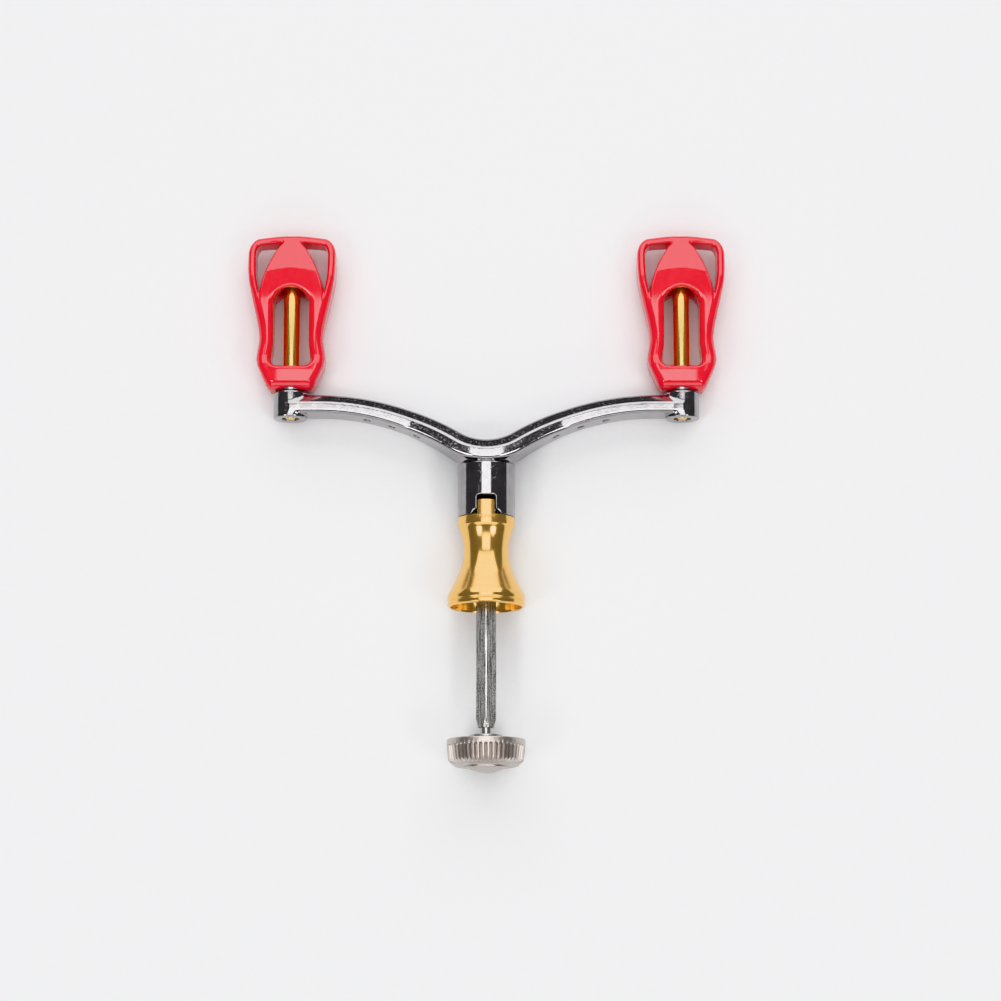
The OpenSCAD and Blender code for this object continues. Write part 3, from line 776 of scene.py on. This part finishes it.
def shank_distance(s, p):
    """Square bar that stands on a corner, its corners turned down, with a cone below and an eye above."""
    x, y, z = np.abs(p[:, 0]), p[:, 1], p[:, 2]
    flats = (x + np.abs(z)) / math.sqrt(2) - s.shank_flats / 2
    full_r = s.shank_corners / 2
    tip_r = s.shank_flats / 2 + 0.06
    corner_r = np.minimum(tip_r + (y - s.end) * (full_r - tip_r) / s.shank_cone, full_r)
    edge = 0.08
    bar = meet(flats, np.hypot(x, z) - corner_r, edge / 2)
    bar = meet(bar, s.end - y, edge)
    bar = np.maximum(bar, y - s.pin_y)
    thin = np.maximum(x - s.key_width / 2, y - s.pin_y)
    bar = np.where(y > s.thin_from, meet(bar, thin, edge), bar)
    bar = meet(bar, -np.maximum(s.key_width / 2 - x, s.thin_from - y), edge)
    eye_r = s.eye_diameter / 2
    heel = np.maximum(np.maximum(y - s.pin_y - eye_r, -z - eye_r), np.maximum(s.pin_y - y, z))
    eye = np.minimum(np.hypot(y - s.pin_y, z) - eye_r, heel)
    eye = meet(eye, x - s.key_width / 2, 0.12)
    body = np.minimum(bar, eye)
    bore_fit = 0.05
    body = meet(body, s.pin_r + bore_fit - np.hypot(y - s.pin_y, z), 0.05)
    tapped = rod_distance(np.hypot(x, z), y, s.stud_r + bore_fit, s.end - 2, s.end + s.bore_length)
    return meet(body, -tapped, edge)


def make_shank():
    """The drive shank."""
    s = turned_sizes()
    low, high = cad_box("drive_shank")
    pin_low, pin_high = cad_box("fold_pin")
    stud_high = cad_box("cap_stud")[1]
    s.end = low[1]
    s.pin_y = (pin_low[1] + pin_high[1]) / 2
    s.pin_r = (pin_high[1] - pin_low[1]) / 2
    s.stud_r = stud_high[0]
    s.bore_length = stud_high[1] - s.end + 1.5
    hub_r = bpy.context.scene.crank_arm.hub_diameter / MM / 2
    hub_swing = math.hypot(hub_r, s.pin_y - cad_box("handle_arm")[0][1])
    s.thin_from = s.pin_y - hub_swing - 0.2
    grid = 0.16
    points, faces, normals = skin(lambda p: shank_distance(s, p), low, high, grid)
    stand_in(new_mesh_object("shank_bar", points, faces, normals), "drive_shank", finish(drawn_steel))


# ---- collar ----


def bell_radius(s, y):
    """Outside radius of the bell: a hollow curve above the waist, a curve and a straight flare below it."""
    waist_y = s.head_y - s.waist_drop
    waist_r = s.waist_diameter / 2
    d = abs(y - waist_y)
    if y > waist_y:
        drop = s.waist_drop - s.head_band
        step = s.head_r - waist_r - s.head_step
        arc = (drop * drop + step * step) / (2 * step)
        return waist_r + arc - math.sqrt(arc * arc - d * d)
    flare_angle = math.radians(27.4)
    turn = s.flare_radius * math.sin(flare_angle)
    if d < turn:
        return waist_r + s.flare_radius - math.sqrt(s.flare_radius**2 - d * d)
    start = waist_r + s.flare_radius * (1 - math.cos(flare_angle))
    return start + (d - turn) / (waist_y - s.rim_band - turn) * (s.rim_r - s.rim_step - start)


def collar_outline(s):
    """Outline of the collar: bell, hollow, guide boss and bore."""
    rim, head = s.rim_r, s.head_r
    bore = s.shank_corners / 2 + s.slide_fit
    guide, guide_end = s.guide_diameter / 2, 1.2
    neck_top = s.head_y - s.head_band
    outside = [(rim - 0.45, 0, 0.15), (rim, 0.35, 0.25), (rim, 1.15, 0.2), (rim - 0.24, 1.4, 0.1),
               (rim, 1.7, 0.2), (rim, 2.5, 0.25)]
    steps = 26
    for i in range(steps + 1):
        y = s.rim_band + (neck_top - s.rim_band) * i / steps
        outside.append((bell_radius(s, y), y, 0))
    outside += [(head, neck_top + 0.35, 0.06), (head, s.head_y, 0.18), (bore, s.head_y, 0.1)]
    inside = [(bore, guide_end, 0.15), (guide, guide_end, 0.35), (guide, s.bell_depth, 0.6)]
    steps = 10
    for i in range(steps + 1):
        y = s.bell_depth + (s.rim_band - s.bell_depth) * i / steps
        wall = s.bell_wall + 0.15 * (1 - i / steps)
        inside.append((bell_radius(s, y) - wall, y, 0.5 if i == 0 else 0))
    inside += [(rim - s.bell_wall, 0.6, 0), (rim - s.bell_wall + 0.1, 0, 0.12)]
    return filleted(outside + inside, 4)


def key_mesh(s, side):
    """A key: a curved block that widens at its foot and is rounded at its top."""
    columns, rise = 16, s.key_height
    foot, round_top, sunk = 0.5, 0.35, 0.6
    heights = [-sunk, 0.0] + [foot * (1 - math.cos(math.radians(a))) for a in (25, 45, 65, 90)]
    heights += [rise - round_top + round_top * math.sin(math.radians(a)) for a in range(0, 91, 15)]
    points, faces = [], []
    for radius in (s.head_r, s.head_r - s.key_thickness):
        for h in heights:
            half = s.key_width / 2
            if h < foot:
                half += foot - math.sqrt(max(foot**2 - (foot - max(h, 0)) ** 2, 0))
            if h > rise - round_top:
                half -= round_top - math.sqrt(max(round_top**2 - (h - rise + round_top) ** 2, 0))
            for i in range(columns + 1):
                x = half * (2 * i / columns - 1)
                points.append((x, s.head_y + h, side * math.sqrt(radius**2 - x * x)))
    rows, width = len(heights), columns + 1
    back = rows * width
    for j in range(rows - 1):
        for i in range(columns):
            a = j * width + i
            faces.append((a, a + 1, a + 1 + width, a + width))
            faces.append((back + a, back + a + width, back + a + 1 + width, back + a + 1))
        for i in (0, columns):
            a = j * width + i
            faces.append((a, a + width, back + a + width, back + a))
    for j in (0, rows - 1):
        for i in range(columns):
            a = j * width + i
            faces.append((a, a + 1, back + a + 1, back + a))
    return new_mesh_object("key", points, faces)


def add_to(piece, extra):
    """Joins an extra solid to a piece as one closed mesh and removes the extra."""
    modifier = piece.modifiers.new("join", "BOOLEAN")
    modifier.operation = "UNION"
    modifier.solver = "EXACT"
    modifier.object = extra
    graph = bpy.context.evaluated_depsgraph_get()
    joined = bpy.data.meshes.new_from_object(piece.evaluated_get(graph))
    weld = 0.002 * MM
    work = bmesh.new()
    work.from_mesh(joined)
    bmesh.ops.dissolve_degenerate(work, dist=weld, edges=work.edges)
    work.to_mesh(joined)
    work.free()
    piece.modifiers.clear()
    piece.data = joined
    bpy.data.objects.remove(extra)


def make_collar():
    """The collar, with its two keys."""
    s = turned_sizes()
    high = cad_box("collar")[1]
    s.rim_r = high[0]
    s.head_y = high[1] - s.key_height
    s.head_r = bpy.context.scene.crank_arm.hub_diameter / MM / 2
    points, faces = turned(collar_outline(s), 160)
    piece = new_mesh_object("collar_bell", points, faces)
    for side in (1, -1):
        add_to(piece, key_mesh(s, side))
    piece.data.set_sharp_from_angle(angle=math.radians(32))
    stand_in(piece, "collar", finish(gold_anodised_aluminium))


# ---- screw cap ----


def make_cap():
    """The fluted cap: a plain band, straight flutes on a slight taper and a chamfer down to the button."""
    s = turned_sizes()
    flutes = bpy.context.scene.crank_counts.flutes
    low, high = cad_box("screw_cap")
    button_r = cad_box("cap_button")[1][0]
    stud_r = cad_box("cap_stud")[1][0]
    top, end, r = high[1], low[1], high[0]
    small = r - s.cap_taper
    nose = r - s.cap_nose
    flute_top = top - s.cap_band
    shoulder, shoulder_drop = 0.1, 0.5
    taper_from, taper_to = flute_top - shoulder_drop, end + 1.5
    stud_hole, button_seat = top - 3, end + 1

    def land(y):
        """Radius over the lands between the flutes, on the cap's taper."""
        return r - shoulder - (s.cap_taper - shoulder) * (taper_from - y) / (taper_from - taper_to)

    body = [(stud_r, stud_hole, 0), (stud_r, top, 0.12), (r, top, 0.35), (r, flute_top + 0.1, 0)]
    body += [(r - shoulder * i / 5, flute_top - 0.08 * i, 0) for i in range(1, 6)]
    steps = 10
    for i in range(steps + 1):
        y = taper_from + (taper_to - taper_from) * i / steps
        body.append((land(y), y, 0))
    body += [(small - 0.1, end + 1.35, 0)]
    chamfer_from, chamfer_to, steps = small - 0.3, nose + 0.2, 8
    for i in range(steps + 1):
        body.append((chamfer_from + (chamfer_to - chamfer_from) * i / steps, end + 1.1 - i / steps, 0))
    body += [(nose, end, 0.1), (button_r, end, 0.12), (button_r, button_seat, 0), (0, button_seat, 0)]
    body += [(0, stud_hole, 0)]

    def fluted(radius, y, angle):
        """Radius with straight flutes, which start at the plain band and run out on the chamfer."""
        if y > flute_top or radius < nose:
            return radius
        wave = math.cos(angle * flutes / 2) ** 2
        land_share = 0.3
        groove = max(0.0, (wave - land_share) / (1 - land_share)) ** 0.7
        run_out = min(1.0, (flute_top - y) / 0.35) ** 0.5
        return min(radius, land(y) - s.flute_depth * groove * run_out)

    points, faces = turned(filleted(body, 4), flutes * 14, fluted)
    piece = new_mesh_object("cap_body", points, faces, sharp_angle=50)
    stand_in(piece, "screw_cap", finish(champagne_anodised_aluminium))


def make_button():
    """The button in the cap's end: a lip, a step and a shallow dome."""
    low, high = cad_box("cap_button")
    end = cad_box("screw_cap")[0][1]
    r, lip, base, tip = high[0], end - 0.5, high[1], low[1]
    dome_r = r - 0.9
    rise = lip - tip
    ball = (dome_r**2 + rise**2) / (2 * rise)
    steps = 10
    dome = []
    for i in range(steps):
        across = dome_r * (steps - 1 - i) / steps
        dome.append((across, tip + ball - math.sqrt(ball**2 - across**2), 0))
    corners = [(0, base, 0), (r, base, 0), (r, lip, 0.3), (dome_r + 0.25, lip, 0.12)] + dome
    points, faces = turned(filleted(corners), 120)
    piece = new_mesh_object("cap_button_disc", points, faces)
    stand_in(piece, "cap_button", finish(champagne_anodised_aluminium))


def make_washer():
    """The loose washer on the stud."""
    low, high = cad_box("cap_washer")
    hole, r = cad_box("cap_stud")[1][0] + 0.05, high[0]
    corners = [(hole, low[1], 0.1), (r, low[1], 0.22), (r, high[1], 0.22), (hole, high[1], 0.1)]
    points, faces = turned(filleted(corners), 96)
    stand_in(new_mesh_object("cap_washer_ring", points, faces), "cap_washer", finish(turned_steel))


def make_stud():
    """The stud: a plain neck at the cap and a fine thread above it."""
    low, high = cad_box("cap_stud")
    base, end, r = low[1], high[1], high[0]
    pitch, depth, steps, rows_a_turn = 0.5, 0.28, 36, 8
    thread_from = cad_box("drive_shank")[0][1] + 0.6
    rows = int((end - 0.5 - thread_from) / pitch * rows_a_turn)
    outline = [(0, base), (r, base), (r, thread_from - 0.4), (r, thread_from)]
    outline += [(r, thread_from + pitch * i / rows_a_turn) for i in range(1, rows)]
    outline += [(r - 0.5, end), (0, end)]

    def threaded(radius, y, angle):
        """Radius with a helical thread cut into it."""
        turn = (y - thread_from) / pitch - angle / (2 * math.pi)
        valley = 1 - abs(2 * (turn % 1) - 1)
        start_fade = min(max((y - thread_from) / pitch, 0), 1)
        end_fade = min(max((end - y) / pitch - 0.5, 0), 1)
        return radius - depth * valley * start_fade * end_fade

    points, faces = turned(outline, steps, threaded)
    piece = new_mesh_object("cap_stud_thread", points, faces, sharp_angle=60)
    stand_in(piece, "cap_stud", finish(turned_steel))


# ---- knobs ----


def knob_sizes():
    """The knobs' sizes with the places that the CAD model gives, measured up the knob from its lower end."""
    s = SimpleNamespace(**millimetres(bpy.context.scene.crank_knob))
    low, high = cad_box("knob_right")
    s.base_y = low[1]
    s.length = high[1] - low[1]
    s.head_width = high[0] - low[0]
    s.low = np.array((-s.head_width / 2, 0, -s.depth / 2))
    s.high = np.array((s.head_width / 2, s.length, s.depth / 2))
    s.spindle_r = cad_box("spindle_right")[1][2]
    s.window_top = s.length - s.hood_length
    s.seat_top = cad_box("upper_inner_ring_right")[1][1] - s.base_y
    return s


def knob_outline(s):
    """Right half of the knob's outline from the front, closed across the middle."""
    foot_t, waist_t, head_t = s.foot_length + 1.9, s.foot_length + 7.6, s.length - 7.5
    end, foot, waist, head = s.end_width / 2, s.foot_width / 2, s.waist_width / 2, s.head_width / 2
    points = [(-3.0, 0.0), (end, 0.0), (end + 0.8, 0.9), (foot - 0.35, foot_t - 1.6)]
    steps = 30
    for i in range(steps + 1):
        t = foot_t + (head_t - foot_t) * i / steps
        if t < waist_t:
            width = between((t - foot_t) / (waist_t - foot_t), foot, waist)
        else:
            width = between(((t - waist_t) / (head_t - waist_t)) ** 0.85, waist, head)
        points.append((float(width), t))
    crown_w = head - s.corner_width
    crown_r = (crown_w**2 + s.crown**2) / (2 * s.crown)
    corner_t = s.length - s.crown - s.corner_height
    for degrees in range(0, 85, 9):
        angle = math.radians(degrees)
        across, up = s.corner_width * math.cos(angle), s.corner_height * math.sin(angle)
        points.append((crown_w + across, corner_t + up))
    steps = 6
    for i in range(steps, -1, -1):
        x = crown_w * i / steps
        points.append((x, s.length - crown_r + math.sqrt(crown_r**2 - x * x)))
    return points + [(-3.0, s.length)]


def window_outline(s):
    """Right half of the long window, wider at the foot and arched under the hood."""
    arch, wide, r = 4.0, 0.5, 1.7
    half, low, top = s.window_width / 2, s.foot_length, s.window_top - arch
    points = [(-3.0, low)]
    for degrees in range(-90, 1, 15):
        angle = math.radians(degrees)
        points.append((half + wide - r + r * math.cos(angle), low + r + r * math.sin(angle)))
    steps = 12
    for i in range(1, steps + 1):
        t = low + r + (top - low - r) * i / steps
        points.append((half + wide * float(1 - ease((t - low - r) / 5)), t))
    for degrees in range(10, 91, 10):
        angle = math.radians(degrees)
        points.append((half * math.cos(angle), top + arch * math.sin(angle)))
    return points + [(-3.0, s.window_top)]


def face_height(s, x, t):
    """Half thickness of the knob: foot facets, a dip along the rails, then a flat and a sloping hood."""
    deep, rail, rim = s.depth / 2, s.rail_depth / 2, s.rim_depth / 2
    low, top = s.foot_length, s.window_top
    base = np.interp(t, [0, 0.7, 1.9, 4.6], [deep - 0.95, deep - 0.6, deep - 0.13, deep])
    dip = ease((t - low - 0.4) / 2.6) * (1 - ease((t - low - 4) / (top - low - 4)))
    base = base - (deep - rail) * dip
    crease_rise, crease_sag = 4.8, 0.8
    crease = top + crease_rise - crease_sag * (x / 6.5) ** 2
    slope = (deep - rim) / (s.length - 2 - top - crease_rise)
    flank = np.clip(x - 5, 0, 1.5)
    pillow = np.minimum(x, 5) ** 2 / 68 + (flank - flank**2 / 3) * 5 / 34
    return base - pillow - slope * np.maximum(t - crease, 0)


def knob_distance(s, outline, window, p):
    """The knob's body: outline and faces, a long window, two corner windows and the bearing seats."""
    x, t, z = np.abs(p[:, 0]), p[:, 1], np.abs(p[:, 2])
    border = outline_distance(x, t, outline)
    face = z - face_height(s, x, t)
    head = ease((t - s.window_top + 2) / 4)
    foot = ease((s.foot_length + 2 - t) / 3)
    outer_radius = s.rail_radius + (1.1 - s.rail_radius) * head - 0.5 * foot
    body = meet(border, face, outer_radius)
    arch = ease((t - s.window_top + 4) / 4)
    inner_radius = 1.75 - 1.15 * arch - 1.05 * foot
    body = meet(body, -outline_distance(x, t, window), inner_radius)
    side_x, side_t, side_r, draft = -21.95, s.window_top - 6.6, 30.85, 0.45
    hood_side = np.hypot(x - side_x, t - side_t) - side_r + draft * z / (s.depth / 2)
    corner = meet(border + s.bar_width, -hood_side, 0.35)
    corner = np.maximum(corner, s.window_top - 3 - t)
    frame_side = ease(border + s.bar_width + 1.2)
    body = meet(body, -corner, 0.4 + 0.4 * frame_side)
    across = np.hypot(x, p[:, 2])
    bearing_r = s.bearing_diameter / 2
    seats = np.minimum(
        rod_distance(across, t, bearing_r, -2, s.bearing_width),
        rod_distance(across, t, bearing_r, s.window_top - 4, s.seat_top),
    )
    bores = np.minimum(
        rod_distance(across, t, s.spindle_r + 0.15, 0, s.foot_length + 2),
        rod_distance(across, t, bearing_r - 0.6, s.seat_top - 1, s.length + 2),
    )
    return meet(body, -np.minimum(seats, bores), 0.12)


def make_knobs():
    """The two knobs' bodies and the plugs in their tops."""
    s = knob_sizes()
    outline, window = knob_outline(s), window_outline(s)
    grid = 0.25
    points, faces, normals = skin(lambda p: knob_distance(s, outline, window, p), s.low, s.high, grid)
    for side in SIDES:
        low, high = cad_box("knob_" + side)
        place = np.array(((low[0] + high[0]) / 2, s.base_y, 0))
        piece = new_mesh_object("knob_body_" + side, points + place, faces, normals)
        stand_in(piece, "knob_" + side, finish(moulded_gloss_red))
        make_plug(side, place[0])


def make_plug(side, x):
    """The plug that closes the screw's chamber, with a shallow dish."""
    low, high = cad_box("knob_plug_" + side)
    bottom, top, r = low[1], high[1], (high[0] - low[0]) / 2
    dish = top - 0.2
    corners = [
        (0, bottom, 0), (r, bottom, 0.12), (r, top, 0.15), (r - 0.7, top, 0.12), (r - 1.0, dish, 0.1),
        (0, dish, 0),
    ]
    points, faces = turned(filleted(corners), 72)
    piece = new_mesh_object("knob_plug_disc_" + side, np.array(points) + (x, 0, 0), faces)
    stand_in(piece, "knob_plug_" + side, finish(moulded_gloss_red))


def make_spindles():
    """The brass spindles, each with a riveted tail and a hole for the knob's screw."""
    a = arm_sizes()
    tail, step = a.barrel_y, a.barrel_top
    tail_r, rivet_r, rivet_top = a.tail_diameter / 2, a.rivet_diameter / 2 - 0.05, tail + a.rivet_depth
    screw_r, screw_depth = 1.2, 6
    for side, sign in SIDES.items():
        low, high = cad_box("spindle_" + side)
        end = high[1]
        r = min((high[2] - low[2]) / 2, SPINDLE_RADIUS)
        corners = [
            (0, tail + 0.1, 0), (1.1, tail + 0.1, 0.1), (1.35, tail + 0.5, 0.15),
            (rivet_r - 0.25, tail + 0.62, 0.15), (rivet_r, tail + 0.95, 0.15), (rivet_r, rivet_top, 0),
            (tail_r, rivet_top, 0), (tail_r, step, 0), (r, step, 0.1), (r, end, 0.15), (screw_r, end, 0.1),
            (screw_r, end - screw_depth, 0), (0, end - screw_depth, 0),
        ]
        points, faces = turned(filleted(corners), 72)
        piece = new_mesh_object("spindle_bar_" + side, np.array(points) + (sign * a.barrel_x, 0, 0), faces)
        stand_in(piece, "spindle_" + side, finish(turned_brass))


# ---- stage ----


def add_area_light(name, place, aim, size, radiance, shape="RECTANGLE"):
    """A soft light panel at a place, turned towards aim, that the camera doesn't see."""
    light = bpy.data.lights.new(name, "AREA")
    light.shape = shape
    light.size, light.size_y = size
    light.energy = radiance * math.pi * size[0] * size[1]
    lamp = bpy.data.objects.new(name, light)
    lamp.location = place
    lamp.rotation_euler = (Vector(aim) - Vector(place)).to_track_quat("-Z", "Y").to_euler()
    lamp.visible_camera = False
    bpy.context.scene.collection.objects.link(lamp)


def floor_height(rest, y):
    """Height of the table under the handle, which lies on its rim and on the backs of its knobs."""
    (rim_y, rim_z), (hood_y, hood_z) = rest
    return rim_z + (y - rim_y) * (hood_z - rim_z) / (hood_y - rim_y)


def make_floor(rest):
    """The table top: a large plane that touches the collar's rim and the knobs' hoods."""
    half_width = 6.0
    ends = (-half_width, half_width)
    corners = [(x, y, floor_height(rest, y)) for y in ends for x in ends]
    mesh = bpy.data.meshes.new("table_top")
    mesh.from_pydata(corners, [], [(0, 1, 3, 2)])
    top = bpy.data.objects.new("table_top", mesh)
    bpy.context.scene.collection.objects.link(top)
    mesh.materials.append(finish(white_table))


def make_lights(x, y):
    """A softbox overhead, a wide one behind the knobs, one low in front, two round lamps and a dim room."""
    add_area_light("softbox_overhead", (x, y - 0.035, 1.2), (x, y - 0.035, 0), (0.78, 0.685), 2.85)
    add_area_light("softbox_back", (x, y + 0.93, 0.9), (x, y + 0.08, 0.1), (2.0, 1.25), 2.0)
    add_area_light("softbox_front", (x, y - 1.1, 0.5), (x, y, 0.1), (1.6, 0.6), 1.4)
    for side, sign in SIDES.items():
        place = (x + sign * 0.65, y - 0.53, 1.0)
        add_area_light("lamp_" + side, place, (x, y, 0), (0.42, 0.42), 6.2, "DISK")
    world = bpy.data.worlds.new("dim_room")
    world.use_nodes = True
    background = world.node_tree.nodes["Background"]
    background.inputs["Color"].default_value = (0.16, 0.16, 0.165, 1.0)
    background.inputs["Strength"].default_value = 1.0
    bpy.context.scene.world = world


def make_camera():
    """The camera, high over the handle and a little towards the cap's end."""
    aim = Vector((3.55, 27.1, 0)) * MM
    distance = 0.7
    tilt = math.radians(11)
    view_width = 0.25025
    camera = bpy.data.cameras.new("camera")
    camera.sensor_width = 36
    camera.lens = camera.sensor_width * distance / view_width
    camera.clip_start, camera.clip_end = 0.01, 20
    holder = bpy.data.objects.new("camera", camera)
    holder.location = aim + distance * Vector((0, -math.sin(tilt), math.cos(tilt)))
    holder.rotation_euler = (tilt, 0, 0)
    bpy.context.scene.collection.objects.link(holder)
    bpy.context.scene.camera = holder


def make_stage():
    """Table, lights and camera. The handle lies on the back of the collar's rim and of the knobs' hoods."""
    collar_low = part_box("collar")[0]
    knob_low, knob_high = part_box("knob_right")
    rim_y = 2.6 * MM
    hood_share = 0.775
    hood_y = knob_low.y + hood_share * (knob_high.y - knob_low.y)
    make_floor(((rim_y, collar_low.z), (hood_y, knob_low.z)))
    low, high = CAD_BOUNDS
    make_lights((low.x + high.x) / 2, (low.y + high.y) / 2)
    make_camera()
    bpy.context.scene.view_settings.view_transform = "Khronos PBR Neutral"


# ---- operators, panel and registration ----


class CRANK_OT_stage(bpy.types.Operator):
    """Makes the table, the lights and the camera"""

    bl_idname = "crank.stage"
    bl_label = "Stage"

    def execute(self, context):
        make_stage()
        return {"FINISHED"}


class CRANK_OT_arm(bpy.types.Operator):
    """Makes the arm's casting and the fold pin"""

    bl_idname = "crank.arm"
    bl_label = "Arm and Fold Pin"

    def execute(self, context):
        make_arm()
        make_fold_pin()
        return {"FINISHED"}


class CRANK_OT_shank(bpy.types.Operator):
    """Makes the drive shank"""

    bl_idname = "crank.shank"
    bl_label = "Drive Shank"

    def execute(self, context):
        make_shank()
        return {"FINISHED"}


class CRANK_OT_collar(bpy.types.Operator):
    """Makes the collar with its keys"""

    bl_idname = "crank.collar"
    bl_label = "Collar"

    def execute(self, context):
        make_collar()
        return {"FINISHED"}


class CRANK_OT_cap(bpy.types.Operator):
    """Makes the screw cap, its button, its stud and the loose washer"""

    bl_idname = "crank.cap"
    bl_label = "Screw Cap"

    def execute(self, context):
        make_cap()
        make_button()
        make_washer()
        make_stud()
        return {"FINISHED"}


class CRANK_OT_knobs(bpy.types.Operator):
    """Makes the knobs' bodies and plugs"""

    bl_idname = "crank.knobs"
    bl_label = "Knobs"

    def execute(self, context):
        make_knobs()
        return {"FINISHED"}


class CRANK_OT_spindles(bpy.types.Operator):
    """Makes the brass spindles"""

    bl_idname = "crank.spindles"
    bl_label = "Spindles"

    def execute(self, context):
        make_spindles()
        return {"FINISHED"}


class CRANK_OT_bearings(bpy.types.Operator):
    """Gives the bearings, washers and screws inside the knobs their finishes"""

    bl_idname = "crank.bearings"
    bl_label = "Bearings and Screws"

    def execute(self, context):
        for side in SIDES:
            for place in ("lower", "upper"):
                for part in ("inner_ring", "outer_ring", "balls"):
                    finish_cad_node(f"{place}_{part}_{side}", finish(ground_bearing_steel))
            for part in ("thrust_washer", "keeper_washer", "knob_screw"):
                finish_cad_node(f"{part}_{side}", finish(turned_steel))
        return {"FINISHED"}


OPERATORS = (
    CRANK_OT_stage, CRANK_OT_arm, CRANK_OT_shank, CRANK_OT_collar,
    CRANK_OT_cap, CRANK_OT_knobs, CRANK_OT_spindles, CRANK_OT_bearings,
)
GROUPS = {
    "crank_arm": CrankArmSizes,
    "crank_knob": CrankKnobSizes,
    "crank_turned": CrankTurnedSizes,
    "crank_finishes": CrankFinishes,
    "crank_counts": CrankCounts,
}


class CRANK_PT_sidebar(bpy.types.Panel):
    """Sizes, colours and pieces of the crank handle"""

    bl_idname = "CRANK_PT_sidebar"
    bl_label = "Crank Handle"
    bl_space_type = "VIEW_3D"
    bl_region_type = "UI"
    bl_category = "Crank"

    def draw(self, context):
        for operator in OPERATORS:
            self.layout.operator(operator.bl_idname)
        for name in GROUPS:
            group = getattr(context.scene, name)
            box = self.layout.box()
            box.label(text=group.bl_rna.description)
            for p in group.bl_rna.properties:
                if p.identifier not in ("rna_type", "name"):
                    box.prop(group, p.identifier)


def register():
    """Registers the property groups, the operators and the panel."""
    for name, group in GROUPS.items():
        bpy.utils.register_class(group)
        setattr(bpy.types.Scene, name, PointerProperty(type=group))
    for cls in OPERATORS + (CRANK_PT_sidebar,):
        bpy.utils.register_class(cls)


def unregister():
    """Removes what register added."""
    for cls in (CRANK_PT_sidebar,) + OPERATORS[::-1]:
        bpy.utils.unregister_class(cls)
    for name, group in GROUPS.items():
        delattr(bpy.types.Scene, name)
        bpy.utils.unregister_class(group)


def main():
    """Builds every piece in order."""
    register()
    for operator in OPERATORS:
        module, name = operator.bl_idname.split(".")
        getattr(getattr(bpy.ops, module), name)()


if __name__ == "__main__":
    main()
